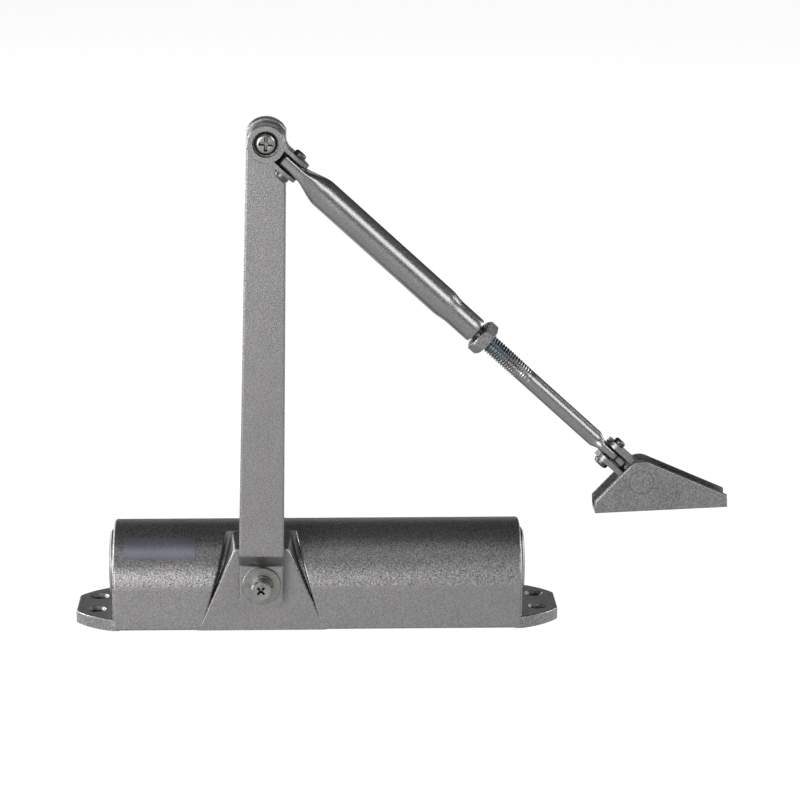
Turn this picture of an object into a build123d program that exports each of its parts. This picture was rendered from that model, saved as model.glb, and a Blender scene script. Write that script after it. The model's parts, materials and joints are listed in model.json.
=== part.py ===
"""Surface-mounted hydraulic door closer with a two-piece linkage arm.

A cast housing holds a piston with a rack. The rack turns a pinion cut on a vertical spindle, a coil
spring pushes the piston home, and two needle valves set the closing speed. The main arm is clamped
to the spindle. An adjustable forearm joins it to a shoe that is screwed to the door frame.

Millimetres. X runs along the housing, Z away from its mounting face, Y along the spindle. The
spindle's working end points to -Y, which is called the front here.
"""

import os
from math import acos, cos, pi, radians, sin, tan

from build123d import *

os.makedirs("parts", exist_ok=True)

# ---------------------------------------------------------------- driving dimensions

RUNNING_GAP = 0.05  # radial clearance of everything that turns or slides in a bore

# housing
BODY_HALF_LENGTH = 89.25
BODY_HALF_DEPTH = 25.0
ARCH_CENTRE_Z = 17.8
BODY_HEIGHT = ARCH_CENTRE_Z + BODY_HALF_DEPTH
END_ROUNDING = 1.4
PAD_EDGE_ROUNDING = 0.9
PAD_CORNER_ROUNDING = 2.4
POCKET_EDGE_ROUNDING = 1.0
LUG_EDGE_ROUNDING = 0.7
LUG_ROOT_HALF_DEPTH = 24.9
LUG_TIP_X = 106.0
LUG_TIP_HALF_DEPTH = 11.5
LUG_THICKNESS = 5.3
HOLE_X = 97.0
HOLE_Y = 9.5
HOLE_RADIUS = 3.2
HOLE_SINK_RADIUS = 4.2
BORE_Z = 23.5
PISTON_RADIUS = 15.0
BORE_RADIUS = PISTON_RADIUS + RUNNING_GAP

# spindle and the flat pads that it comes out of
SPINDLE_X = -24.4
SPINDLE_Z = 22.5
PAD_TOP_Z = 36.9
PAD_TOP_HALF = 11.6
PAD_FOOT_HALF = 28.0
PAD_BACK_Y = -8.0
POCKET_TOP_HALF = 14.7
POCKET_FOOT_HALF = 26.2
SPINDLE_BORE_RADIUS = 9.5
JOURNAL_RADIUS = 6.5
SQUARE_SIDE = 9.4

# rack and pinion
MODULE = 1.5
PINION_TEETH = 10
PITCH_RADIUS = MODULE * PINION_TEETH / 2
PRESSURE_ANGLE = radians(20)
PINION_HALF_WIDTH = 11.5
RACK_ADDENDUM = 0.8
TOOTH_PLAY = 0.3
SPINDLE_TURN = 150.0
PISTON_TRAVEL = PITCH_RADIUS * radians(SPINDLE_TURN)

# main arm
ARM_TILT = 1.1
ARM_LENGTH = 194.6
ARM_THICKNESS = 5.0
ARM_FRONT_Y = -41.0
TAB_FRONT_Y = -32.0
ARM_WIDTH_LOW = 19.2
ARM_WIDTH_HIGH = 16.6
ARM_END_RADIUS = 9.2
ARM_EDGE_ROUNDING = 0.9

# elbow, forearm and shoe
ELBOW_X = SPINDLE_X + ARM_LENGTH * sin(radians(ARM_TILT))
ELBOW_Z = SPINDLE_Z + ARM_LENGTH * cos(radians(ARM_TILT))
FOREARM_FALL = 42.4
FOREARM_LENGTH = 212.4
FORK_BACK_Y = ARM_FRONT_Y - 0.5
FORK_DEPTH = 14.5
FOREARM_Y = FORK_BACK_Y - FORK_DEPTH / 2
FORK_RADIUS = 7.85
ELBOW_RIVET_S = 14.0
TUBE_RADIUS = 6.25
THREAD_RADIUS = 4.0
THREAD_PITCH = 1.25
ROD_RADIUS = 3.65
SHOE_X = ELBOW_X + FOREARM_LENGTH * cos(radians(FOREARM_FALL))
SHOE_Z = ELBOW_Z - FOREARM_LENGTH * sin(radians(FOREARM_FALL))
SHOE_TILT = -2.5
SHOE_LENGTH = 56.0
SHOE_WIDTH = 14.0
SHOE_WALL = 2.0
SHOE_EDGE_ROUNDING = 0.6
SHOE_PIN_RADIUS = 5.15
SHOE_PIN_UP = 12.65
SHOE_PIN_IN = 19.8
SHOE_RIVET_S = FOREARM_LENGTH - 17.0
SHOE_HOLES = (-11.5, 26.5)  # along the base from the pin
SHOE_HOLE_RADIUS = 2.6


# ---------------------------------------------------------------- planes

def facing(x, depth, z, tilt=0.0):
    """A plane seen from the front: local x to the right, local y up, turned clockwise by tilt."""
    turn = radians(tilt)
    return Plane(origin=(x, depth, z), x_dir=(cos(turn), 0, -sin(turn)), z_dir=(0, -1, 0))


def across_forearm(distance):
    """A plane square to the forearm, this far from the elbow: local x is depth, local y is up."""
    turn = radians(FOREARM_FALL)
    origin = (ELBOW_X + distance * cos(turn), FOREARM_Y, ELBOW_Z - distance * sin(turn))
    return Plane(origin=origin, x_dir=(0, 1, 0), z_dir=(cos(turn), 0, -sin(turn)))


def under_forearm(distance, rise=0.0):
    """A plane along the forearm, square to the rivets: local x runs to the shoe, local y back."""
    turn = radians(FOREARM_FALL)
    up = Vector(sin(turn), 0, cos(turn))
    origin = across_forearm(distance).origin + up * rise
    return Plane(origin=origin, x_dir=(cos(turn), 0, -sin(turn)), z_dir=up)


# ---------------------------------------------------------------- housing

def trapezoid(foot_half, top_half, foot, top):
    """The corners of an upright symmetrical trapezoid."""
    return [(-foot_half, foot), (foot_half, foot), (top_half, top), (-top_half, top)]


def pad_top(depth):
    """The height of a pad's sloping top at this depth."""
    slope = 3.45 / 14
    return PAD_TOP_Z + (depth + BODY_HALF_DEPTH) * slope


with BuildPart() as pad_pocket:
    with BuildSketch(facing(SPINDLE_X, 0, 0)):
        Polygon(*trapezoid(POCKET_FOOT_HALF, POCKET_TOP_HALF - 1.6, 0, 46), align=None)
    extrude(amount=40)
    with BuildSketch(Plane.YZ.offset(SPINDLE_X - 40)):
        Polygon((-40, 1.5), (-BODY_HALF_DEPTH, 1.5), (-18.4, 29), (-8.0, 43.5), (-40, 46), align=None)
    extrude(amount=80, mode=Mode.INTERSECT)

with BuildPart() as pad:
    with BuildSketch(facing(SPINDLE_X, -BODY_HALF_DEPTH, 0)):
        Polygon(*trapezoid(PAD_FOOT_HALF, PAD_TOP_HALF, 0, PAD_TOP_Z), align=None)
    with BuildSketch(facing(SPINDLE_X, PAD_BACK_Y, 0)):
        back_corners = trapezoid(PAD_FOOT_HALF + 1.0, PAD_TOP_HALF + 1.5, 0, pad_top(PAD_BACK_Y))
        Polygon(*back_corners, align=None)
    loft()
    top_corners = pad.edges().filter_by(lambda edge: edge.center().Z > PAD_TOP_Z and 15 < edge.length < 20)
    fillet(top_corners, PAD_CORNER_ROUNDING)
    front_outline = pad.faces().sort_by(Axis.Y)[0].edges().filter_by(lambda edge: edge.center().Z > 1)
    fillet(front_outline, PAD_EDGE_ROUNDING)


def on_pocket_rim(edge):
    """Whether an edge is where a pocket cuts the barrel's side or its arch."""
    place = edge.center()
    beside_pad = PAD_TOP_HALF + 1 < abs(place.X - SPINDLE_X) < POCKET_FOOT_HALF
    upright = edge.geom_type == GeomType.LINE and abs(place.Y) > BODY_HALF_DEPTH - 0.1 and edge.length > 10
    return beside_pad and (upright or edge.geom_type == GeomType.ELLIPSE)


back_pocket = pad_pocket.part.mirror(Plane.XZ)
back_pad = pad.part.mirror(Plane.XZ)

with BuildPart() as housing:
    with BuildSketch(Plane.YZ.offset(-BODY_HALF_LENGTH)):
        with BuildLine():
            left, right = (-BODY_HALF_DEPTH, ARCH_CENTRE_Z), (BODY_HALF_DEPTH, ARCH_CENTRE_Z)
            Polyline(left, (-BODY_HALF_DEPTH, 0), (BODY_HALF_DEPTH, 0), right)
            ThreePointArc(right, (0, BODY_HEIGHT), left)
        make_face()
    extrude(amount=2 * BODY_HALF_LENGTH)
    rims = housing.faces().filter_by(Axis.X).edges().filter_by(lambda edge: edge.center().Z > 1)
    fillet(rims, END_ROUNDING)
    add(pad_pocket.part, mode=Mode.SUBTRACT)
    add(back_pocket, mode=Mode.SUBTRACT)
    fillet(housing.edges().filter_by(on_pocket_rim), POCKET_EDGE_ROUNDING)
    add(pad.part)
    add(back_pad)
    for end in (-1, 1):
        with BuildSketch():
            root = end * (BODY_HALF_LENGTH - 3)
            with BuildLine():
                Polyline((root, -LUG_ROOT_HALF_DEPTH), (end * BODY_HALF_LENGTH, -LUG_ROOT_HALF_DEPTH))
                Spline(
                    (end * BODY_HALF_LENGTH, -LUG_ROOT_HALF_DEPTH),
                    (end * 98.5, -19.6),
                    (end * (LUG_TIP_X - 0.6), -LUG_TIP_HALF_DEPTH - 0.6),
                )
                Polyline(
                    (end * (LUG_TIP_X - 0.6), -LUG_TIP_HALF_DEPTH - 0.6),
                    (end * LUG_TIP_X, -LUG_TIP_HALF_DEPTH + 1.0),
                    (end * LUG_TIP_X, LUG_TIP_HALF_DEPTH - 1.0),
                    (end * (LUG_TIP_X - 0.6), LUG_TIP_HALF_DEPTH + 0.6),
                )
                Spline(
                    (end * (LUG_TIP_X - 0.6), LUG_TIP_HALF_DEPTH + 0.6),
                    (end * 98.5, 19.6),
                    (end * BODY_HALF_LENGTH, LUG_ROOT_HALF_DEPTH),
                )
                Polyline(
                    (end * BODY_HALF_LENGTH, LUG_ROOT_HALF_DEPTH),
                    (root, LUG_ROOT_HALF_DEPTH),
                    (root, -LUG_ROOT_HALF_DEPTH),
                )
            make_face()
        extrude(amount=LUG_THICKNESS)
    lug_tops = housing.faces().filter_by(Axis.Z).filter_by(lambda face: abs(face.center().X) > BODY_HALF_LENGTH)
    lug_outline = lug_tops.edges().filter_by(lambda edge: abs(edge.center().X) > BODY_HALF_LENGTH + 0.5)
    fillet(lug_outline.filter_by(lambda edge: edge.center().Z > 1), LUG_EDGE_ROUNDING)
    with Locations(*[Plane((x, y, LUG_THICKNESS)) for x in (-HOLE_X, HOLE_X) for y in (-HOLE_Y, HOLE_Y)]):
        CounterSinkHole(HOLE_RADIUS, HOLE_SINK_RADIUS, depth=LUG_THICKNESS)
    with BuildSketch(Plane.YZ.offset(-BODY_HALF_LENGTH - 1)):
        with Locations((0, BORE_Z)):
            Circle(BORE_RADIUS)
    extrude(amount=2 * BODY_HALF_LENGTH + 2, mode=Mode.SUBTRACT)
    with BuildSketch(facing(SPINDLE_X, BODY_HALF_DEPTH + 1, SPINDLE_Z)):
        Circle(SPINDLE_BORE_RADIUS)
    extrude(amount=2 * BODY_HALF_DEPTH + 2, mode=Mode.SUBTRACT)
    with BuildSketch(Plane.YZ.offset(BODY_HALF_LENGTH + 1)):
        with Locations((-19, 9.6), (19, 9.6)):
            Circle(3.2 + RUNNING_GAP)
    extrude(amount=-24, mode=Mode.SUBTRACT)
housing.part.label = "housing"
export_step(housing.part, "parts/housing.step")

# ---------------------------------------------------------------- end plugs

PLUG_INNER_X = 78.0
PLUG_FACE_X = 91.6
PLUG_GROOVE_X = 81.5

for side, end in (("left", -1), ("right", 1)):
    plug_plane = Plane(origin=(0, 0, BORE_Z), x_dir=(end, 0, 0), z_dir=(0, -end, 0))
    with BuildPart() as end_plug:
        with BuildSketch(plug_plane):
            with BuildLine():
                Polyline(
                    (PLUG_FACE_X, 0), (PLUG_INNER_X, 0), (PLUG_INNER_X, PISTON_RADIUS),
                    (PLUG_GROOVE_X - 1.1, PISTON_RADIUS), (PLUG_GROOVE_X - 1.1, PISTON_RADIUS - 1.4),
                    (PLUG_GROOVE_X + 1.1, PISTON_RADIUS - 1.4), (PLUG_GROOVE_X + 1.1, PISTON_RADIUS),
                    (BODY_HALF_LENGTH + 1.0, PISTON_RADIUS), (PLUG_FACE_X - 0.5, PISTON_RADIUS - 1.2),
                )
                ThreePointArc((PLUG_FACE_X - 0.5, PISTON_RADIUS - 1.2), (PLUG_FACE_X - 0.13, 7), (PLUG_FACE_X, 0))
            make_face()
        revolve(axis=Axis((0, 0, BORE_Z), (1, 0, 0)))
        with BuildSketch(Plane.YZ.offset(end * PLUG_FACE_X)):
            with Locations((-8, BORE_Z), (8, BORE_Z)):
                Circle(2.0)
        extrude(amount=-end * 4.5, mode=Mode.SUBTRACT)
    end_plug.part.label = f"end_plug_{side}"
    export_step(end_plug.part, f"parts/end_plug_{side}.step")

    with BuildPart() as plug_seal:
        with BuildSketch(plug_plane):
            with Locations((PLUG_GROOVE_X, PISTON_RADIUS - 0.7)):
                Circle(0.65)
        revolve(axis=Axis((0, 0, BORE_Z), (1, 0, 0)))
    plug_seal.part.label = f"end_plug_seal_{side}"
    export_step(plug_seal.part, f"parts/end_plug_seal_{side}.step")

# ---------------------------------------------------------------- spindle bearings, seals and glands

BEARING_Y = (13.0, 19.0)
SEAL_Y = (19.2, 21.4)
GLAND_Y = (21.6, 24.9)


def ring(side, start, end, outer, inner):
    """A ring round the spindle between two depths on one side (-1 is the front)."""
    with BuildPart() as made:
        with BuildSketch(facing(SPINDLE_X, side * start, SPINDLE_Z)):
            Circle(outer)
            Circle(inner, mode=Mode.SUBTRACT)
        extrude(amount=-side * (end - start))
    return made


for name, side in (("front", -1), ("back", 1)):
    spindle_bearing = ring(side, *BEARING_Y, SPINDLE_BORE_RADIUS, JOURNAL_RADIUS + RUNNING_GAP)
    spindle_bearing.part.label = f"spindle_bearing_{name}"
    export_step(spindle_bearing.part, f"parts/spindle_bearing_{name}.step")

    spindle_seal = ring(side, *SEAL_Y, SPINDLE_BORE_RADIUS, JOURNAL_RADIUS + RUNNING_GAP)
    spindle_seal.part.label = f"spindle_seal_{name}"
    export_step(spindle_seal.part, f"parts/spindle_seal_{name}.step")

    gland_nut = ring(side, *GLAND_Y, SPINDLE_BORE_RADIUS, JOURNAL_RADIUS + 0.3)
    gland_nut.part.label = f"gland_nut_{name}"
    export_step(gland_nut.part, f"parts/gland_nut_{name}.step")

with BuildPart() as spindle_cap:
    with BuildSketch(facing(SPINDLE_X, BODY_HALF_DEPTH + 0.05, SPINDLE_Z)):
        Circle(10.6)
    extrude(amount=-2.4)
    fillet(spindle_cap.edges().sort_by(Axis.Y)[-1], 1.2)
    with BuildSketch(facing(SPINDLE_X, BODY_HALF_DEPTH + 0.05, SPINDLE_Z)):
        Circle(JOURNAL_RADIUS + 0.2)
    extrude(amount=2.6)
spindle_cap.part.label = "spindle_cap"
export_step(spindle_cap.part, "parts/spindle_cap.step")

# ---------------------------------------------------------------- speed valves

VALVE_Y = 19.0
VALVE_Z = 9.6
VALVE_RADIUS = 3.2
VALVE_OUTER_X = BODY_HALF_LENGTH - 0.6
VALVE_INNER_X = VALVE_OUTER_X - 21.0
VALVE_GROOVE_X = VALVE_OUTER_X - 6.0

for name, side in (("closing", -1), ("latching", 1)):
    valve_plane = Plane(origin=(0, side * VALVE_Y, VALVE_Z), x_dir=(1, 0, 0), z_dir=(0, -1, 0))
    valve_axis = Axis((0, side * VALVE_Y, VALVE_Z), (1, 0, 0))
    with BuildPart() as speed_valve:
        with BuildSketch(valve_plane):
            with BuildLine():
                Polyline(
                    (VALVE_INNER_X, 0), (VALVE_INNER_X + 5, 1.4), (VALVE_INNER_X + 7, 1.4),
                    (VALVE_INNER_X + 8, VALVE_RADIUS), (VALVE_GROOVE_X - 1, VALVE_RADIUS),
                    (VALVE_GROOVE_X - 1, VALVE_RADIUS - 0.9), (VALVE_GROOVE_X + 1, VALVE_RADIUS - 0.9),
                    (VALVE_GROOVE_X + 1, VALVE_RADIUS), (VALVE_OUTER_X - 0.4, VALVE_RADIUS),
                    (VALVE_OUTER_X, VALVE_RADIUS - 0.4), (VALVE_OUTER_X, 0), (VALVE_INNER_X, 0),
                )
            make_face()
        revolve(axis=valve_axis)
        with BuildSketch(Plane.YZ.offset(VALVE_OUTER_X)):
            with Locations((side * VALVE_Y, VALVE_Z)):
                Rectangle(2 * VALVE_RADIUS + 1, 1.0)
        extrude(amount=-1.3, mode=Mode.SUBTRACT)
    speed_valve.part.label = f"{name}_speed_valve"
    export_step(speed_valve.part, f"parts/{name}_speed_valve.step")

    with BuildPart() as valve_seal:
        with BuildSketch(valve_plane):
            with Locations((VALVE_GROOVE_X, VALVE_RADIUS - 0.43)):
                Circle(0.42)
        revolve(axis=valve_axis)
    valve_seal.part.label = f"{name}_valve_seal"
    export_step(valve_seal.part, f"parts/{name}_valve_seal.step")

# ---------------------------------------------------------------- blank name plate

PLATE_X = (-84.0, -53.2)
PLATE_ANGLES = (33.5, 58.0)  # from the top of the arch, towards the front
PLATE_THICKNESS = 0.35


def on_arch(angle, rise):
    """A point of the housing's section, this far above the arch's surface."""
    reach = BODY_HALF_DEPTH + rise
    return (-reach * sin(radians(angle)), ARCH_CENTRE_Z + reach * cos(radians(angle)))


with BuildPart() as name_plate:
    with BuildSketch(Plane.YZ.offset(PLATE_X[0])):
        start, end = PLATE_ANGLES
        middle = (start + end) / 2
        with BuildLine():
            ThreePointArc(on_arch(start, 0.02), on_arch(middle, 0.02), on_arch(end, 0.02))
            Line(on_arch(end, 0.02), on_arch(end, PLATE_THICKNESS))
            ThreePointArc(*[on_arch(angle, PLATE_THICKNESS) for angle in (end, middle, start)])
            Line(on_arch(start, PLATE_THICKNESS), on_arch(start, 0.02))
        make_face()
    extrude(amount=PLATE_X[1] - PLATE_X[0])
name_plate.part.label = "name_plate"
export_step(name_plate.part, "parts/name_plate.step")

# ---------------------------------------------------------------- spindle with its pinion


def involute(angle):
    """The involute function."""
    return tan(angle) - angle


def pinion_outline():
    """The corners of the pinion's section, with a gap between teeth straight down."""
    base = PITCH_RADIUS * cos(PRESSURE_ANGLE)
    tip = PITCH_RADIUS + MODULE
    root = PITCH_RADIUS - 1.3 * MODULE
    radii = [base + (tip - base) * step / 4 for step in range(5)]
    half_pitch = pi / PINION_TEETH
    half_tooth = half_pitch / 2 - TOOTH_PLAY / 4 / PITCH_RADIUS + involute(PRESSURE_ANGLE)
    flank = [(radius, half_tooth - involute(acos(base / radius))) for radius in radii]
    tooth = [(root, flank[0][1])] + flank
    points = []
    for index in range(PINION_TEETH):
        middle = -pi / 2 + half_pitch + index * 2 * half_pitch
        for radius, half in tooth:
            points.append((radius * cos(middle - half), radius * sin(middle - half)))
        for radius, half in reversed(tooth):
            points.append((radius * cos(middle + half), radius * sin(middle + half)))
    return points


SPINDLE_BACK_Y = 22.0
SQUARE_START_Y = -26.6
SQUARE_END_Y = TAB_FRONT_Y + 0.2

with BuildPart() as spindle:
    with BuildSketch(facing(SPINDLE_X, PINION_HALF_WIDTH, SPINDLE_Z)):
        Polygon(*pinion_outline(), align=None)
    extrude(amount=2 * PINION_HALF_WIDTH)
    with BuildSketch(facing(SPINDLE_X, SPINDLE_BACK_Y, SPINDLE_Z)):
        Circle(JOURNAL_RADIUS)
    extrude(amount=SPINDLE_BACK_Y - PINION_HALF_WIDTH)
    with BuildSketch(facing(SPINDLE_X, -PINION_HALF_WIDTH, SPINDLE_Z)):
        Circle(JOURNAL_RADIUS)
    extrude(amount=-SQUARE_START_Y - PINION_HALF_WIDTH)
    with BuildSketch(facing(SPINDLE_X, SQUARE_START_Y, SPINDLE_Z, ARM_TILT)):
        RectangleRounded(SQUARE_SIDE, SQUARE_SIDE, 1.2)
    extrude(amount=SQUARE_START_Y - SQUARE_END_Y)
    with BuildSketch(facing(SPINDLE_X, SQUARE_END_Y, SPINDLE_Z)):
        Circle(2.55)
    extrude(amount=-16, mode=Mode.SUBTRACT)
spindle.part.label = "spindle"
export_step(spindle.part, "parts/spindle.step")

# ---------------------------------------------------------------- piston with its rack

WINDOW_LEFT = SPINDLE_X - PISTON_TRAVEL - 10.2
WINDOW_RIGHT = SPINDLE_X + 10.2
PISTON_LEFT = WINDOW_LEFT - 10.0
PISTON_RIGHT = WINDOW_RIGHT + 12.0
RACK_PITCH_Z = SPINDLE_Z - PITCH_RADIUS
RACK_ROOT_Z = RACK_PITCH_Z - 1.35 * MODULE
RACK_TIP_Z = RACK_PITCH_Z + RACK_ADDENDUM
WINDOW_TOP_Z = SPINDLE_Z + PITCH_RADIUS + MODULE + 0.6
RACK_HALF_WIDTH = 9.0
CUP_DEPTH = 1.8

piston_axis = Axis((0, 0, BORE_Z), (1, 0, 0))

with BuildPart() as piston:
    with BuildSketch(Plane.YZ.offset(PISTON_LEFT)):
        with Locations((0, BORE_Z)):
            Circle(PISTON_RADIUS)
    extrude(amount=PISTON_RIGHT - PISTON_LEFT)
    with BuildSketch(Plane.XZ.offset(-PISTON_RADIUS - 1)):
        with Locations(((WINDOW_LEFT + WINDOW_RIGHT) / 2, (RACK_ROOT_Z + WINDOW_TOP_Z) / 2)):
            Rectangle(WINDOW_RIGHT - WINDOW_LEFT, WINDOW_TOP_Z - RACK_ROOT_Z)
    extrude(amount=2 * PISTON_RADIUS + 2, mode=Mode.SUBTRACT)
    with BuildSketch(Plane.XZ.offset(-RACK_HALF_WIDTH)):
        rack_pitch = pi * MODULE
        half_at_pitch = rack_pitch / 4 - TOOTH_PLAY / 4
        half_root = half_at_pitch + (RACK_PITCH_Z - RACK_ROOT_Z) * tan(PRESSURE_ANGLE)
        half_tip = half_at_pitch - RACK_ADDENDUM * tan(PRESSURE_ANGLE)
        rack_teeth = [x for x in range(-6, 2)]
        with Locations(*[(SPINDLE_X + index * rack_pitch, 0) for index in rack_teeth]):
            Polygon(*trapezoid(half_root, half_tip, RACK_ROOT_Z - 0.4, RACK_TIP_Z), align=None)
    extrude(amount=2 * RACK_HALF_WIDTH)
    for face_x, into in ((PISTON_LEFT, 1), (PISTON_RIGHT, -1)):
        groove = face_x + into * 4.0
        with BuildSketch(Plane.YZ.offset(groove)):
            with Locations((0, BORE_Z)):
                Circle(PISTON_RADIUS + 1)
                Circle(PISTON_RADIUS - 1.6, mode=Mode.SUBTRACT)
        extrude(amount=into * 2.6, mode=Mode.SUBTRACT)
    with BuildSketch(Plane.YZ.offset(PISTON_RIGHT)):
        with Locations((0, BORE_Z)):
            Circle(13.2)
    extrude(amount=-CUP_DEPTH, mode=Mode.SUBTRACT)
    with BuildSketch(Plane.YZ.offset(PISTON_LEFT)):
        with Locations((0, BORE_Z)):
            Circle(3.2)
    extrude(amount=7, mode=Mode.SUBTRACT)
piston.part.label = "piston"
export_step(piston.part, "parts/piston.step")

for name, face_x, into in (("left", PISTON_LEFT, 1), ("right", PISTON_RIGHT, -1)):
    with BuildPart() as piston_ring:
        with BuildSketch(Plane.YZ.offset(face_x + into * 4.1)):
            with Locations((0, BORE_Z)):
                Circle(PISTON_RADIUS - 0.02)
                Circle(PISTON_RADIUS - 1.5, mode=Mode.SUBTRACT)
        extrude(amount=into * 2.4)
    piston_ring.part.label = f"piston_ring_{name}"
    export_step(piston_ring.part, f"parts/piston_ring_{name}.step")

with BuildPart() as check_valve_seat:
    with BuildSketch(Plane.YZ.offset(PISTON_LEFT)):
        with Locations((0, BORE_Z)):
            Circle(3.15)
            Circle(1.3, mode=Mode.SUBTRACT)
    extrude(amount=2.4)
check_valve_seat.part.label = "check_valve_seat"
export_step(check_valve_seat.part, "parts/check_valve_seat.step")

with BuildPart() as check_valve_ball:
    with Locations((PISTON_LEFT + 4.6, 0, BORE_Z)):
        Sphere(2.1)
check_valve_ball.part.label = "check_valve_ball"
export_step(check_valve_ball.part, "parts/check_valve_ball.step")

# ---------------------------------------------------------------- closer spring

SPRING_START = PISTON_RIGHT - CUP_DEPTH + 0.3
SPRING_END = PLUG_INNER_X - 0.3
SPRING_WIRE = 1.6
SPRING_MEAN = 11.2
SPRING_TURNS = 11

with BuildPart() as closer_spring:
    coil_start = (SPRING_START + SPRING_WIRE, 0, BORE_Z)
    coil_height = SPRING_END - SPRING_START - 2 * SPRING_WIRE
    coil_pitch = coil_height / SPRING_TURNS
    with BuildLine():
        coil = Helix(coil_pitch, coil_height, SPRING_MEAN, center=coil_start, direction=(1, 0, 0))
    with BuildSketch(Plane(origin=coil @ 0, z_dir=coil % 0)):
        Circle(SPRING_WIRE)
    sweep(path=coil, is_frenet=True)
closer_spring.part.label = "closer_spring"
export_step(closer_spring.part, "parts/closer_spring.step")

# ---------------------------------------------------------------- main arm and its fixing

BEND_LOW = 8.7  # heights above the spindle, along the arm
BEND_HIGH = 15.6
TAB_FOOT = 11.4

with BuildPart() as main_arm:
    arm_side = Plane(
        origin=(SPINDLE_X, 0, SPINDLE_Z),
        x_dir=(sin(radians(ARM_TILT)), 0, cos(radians(ARM_TILT))),
        z_dir=(cos(radians(ARM_TILT)), 0, -sin(radians(ARM_TILT))),
    )
    with BuildSketch(arm_side):
        with BuildLine():
            low, high = -TAB_FRONT_Y, -ARM_FRONT_Y
            slant = (high - low) / (BEND_HIGH - BEND_LOW)
            shift = ARM_THICKNESS * ((1 + slant**2) ** 0.5 - 1) / slant
            FilletPolyline(
                (-20, low - ARM_THICKNESS), (-20, low), (BEND_LOW, low), (BEND_HIGH, high),
                (ARM_LENGTH + 20, high), (ARM_LENGTH + 20, high - ARM_THICKNESS),
                (BEND_HIGH + shift, high - ARM_THICKNESS), (BEND_LOW + shift, low - ARM_THICKNESS),
                radius=1.2, close=True,
            )
        make_face()
    extrude(amount=15, both=True)
    with BuildSketch(facing(SPINDLE_X, 0, SPINDLE_Z, ARM_TILT)):
        with BuildLine():
            half_low, half_high = ARM_WIDTH_LOW / 2, ARM_WIDTH_HIGH / 2
            foot_side = -(TAB_FOOT**2 - half_low**2) ** 0.5
            head_side = ARM_LENGTH + (ARM_END_RADIUS**2 - half_high**2) ** 0.5
            Polyline((-half_low, foot_side), (-half_low, 25), (-half_high, head_side))
            ThreePointArc((-half_high, head_side), (0, ARM_LENGTH + ARM_END_RADIUS), (half_high, head_side))
            Polyline((half_high, head_side), (half_low, 25), (half_low, foot_side))
            ThreePointArc((half_low, foot_side), (0, -TAB_FOOT), (-half_low, foot_side))
        make_face()
    extrude(amount=60, mode=Mode.INTERSECT)
    front_outline = main_arm.edges().filter_by(lambda edge: edge.center().Y < ARM_FRONT_Y + 0.1)
    fillet(front_outline.filter_by(lambda edge: edge.length > 18), ARM_EDGE_ROUNDING)
    with BuildSketch(facing(SPINDLE_X, 0, SPINDLE_Z, ARM_TILT)):
        RectangleRounded(SQUARE_SIDE + 0.1, SQUARE_SIDE + 0.1, 1.2)
    extrude(amount=60, mode=Mode.SUBTRACT)
    with BuildSketch(facing(ELBOW_X, 0, ELBOW_Z)):
        Circle(2.6)
    extrude(amount=60, mode=Mode.SUBTRACT)
main_arm.part.label = "main_arm"
export_step(main_arm.part, "parts/main_arm.step")

WASHER_THICKNESS = 1.5
WASHER_RADIUS = 8.35
LOCK_WASHER_THICKNESS = 1.7
ARM_SCREW_HEAD_RADIUS = 4.4
ARM_SCREW_FRONT_Y = -40.5

washer_front = TAB_FRONT_Y - WASHER_THICKNESS
lock_washer_front = washer_front - LOCK_WASHER_THICKNESS

with BuildPart() as arm_washer:
    with BuildSketch(facing(SPINDLE_X, TAB_FRONT_Y, SPINDLE_Z)):
        Circle(WASHER_RADIUS)
        Circle(2.7, mode=Mode.SUBTRACT)
    extrude(amount=WASHER_THICKNESS)
    chamfer(arm_washer.edges().group_by(Axis.Y)[0].sort_by(SortBy.LENGTH)[-1], 0.35)
arm_washer.part.label = "arm_washer"
export_step(arm_washer.part, "parts/arm_washer.step")

with BuildPart() as arm_lock_washer:
    with BuildSketch(facing(SPINDLE_X, washer_front, SPINDLE_Z)):
        Circle(5.0)
        Circle(2.7, mode=Mode.SUBTRACT)
        with Locations(Location((4, 0.0), 25)):
            Rectangle(4.5, 0.5, mode=Mode.SUBTRACT)
    extrude(amount=LOCK_WASHER_THICKNESS)
arm_lock_washer.part.label = "arm_lock_washer"
export_step(arm_lock_washer.part, "parts/arm_lock_washer.step")


def cross_recess(head_plane, size, depth):
    """The space of a cross-shaped driver recess, which narrows downwards from a screw head's top."""
    with BuildPart() as made:
        with BuildSketch(head_plane):
            Rectangle(size, size * 0.24)
            Rectangle(size * 0.24, size)
            Circle(size * 0.2)
        extrude(amount=-depth, taper=14)
    return made.part


arm_screw_recess = cross_recess(facing(SPINDLE_X, ARM_SCREW_FRONT_Y, SPINDLE_Z, 45), 4.2, 2.0)

with BuildPart() as arm_screw:
    with BuildSketch(facing(SPINDLE_X, lock_washer_front, SPINDLE_Z)):
        Circle(ARM_SCREW_HEAD_RADIUS)
    extrude(amount=lock_washer_front - ARM_SCREW_FRONT_Y)
    chamfer(arm_screw.edges().sort_by(Axis.Y)[0], 0.7)
    with BuildSketch(facing(SPINDLE_X, lock_washer_front, SPINDLE_Z)):
        Circle(2.5)
    extrude(amount=-15)
    add(arm_screw_recess, mode=Mode.SUBTRACT)
arm_screw.part.label = "arm_screw"
export_step(arm_screw.part, "parts/arm_screw.step")

# ---------------------------------------------------------------- elbow

POST_RADIUS = 4.0
RECESS_RADIUS = 5.5
RECESS_DEPTH = 3.6
POST_FRONT_Y = FORK_BACK_Y - FORK_DEPTH + RECESS_DEPTH - 0.1
TONGUE_HALF = 2.9
EAR_ARC_S = 12.4

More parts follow.
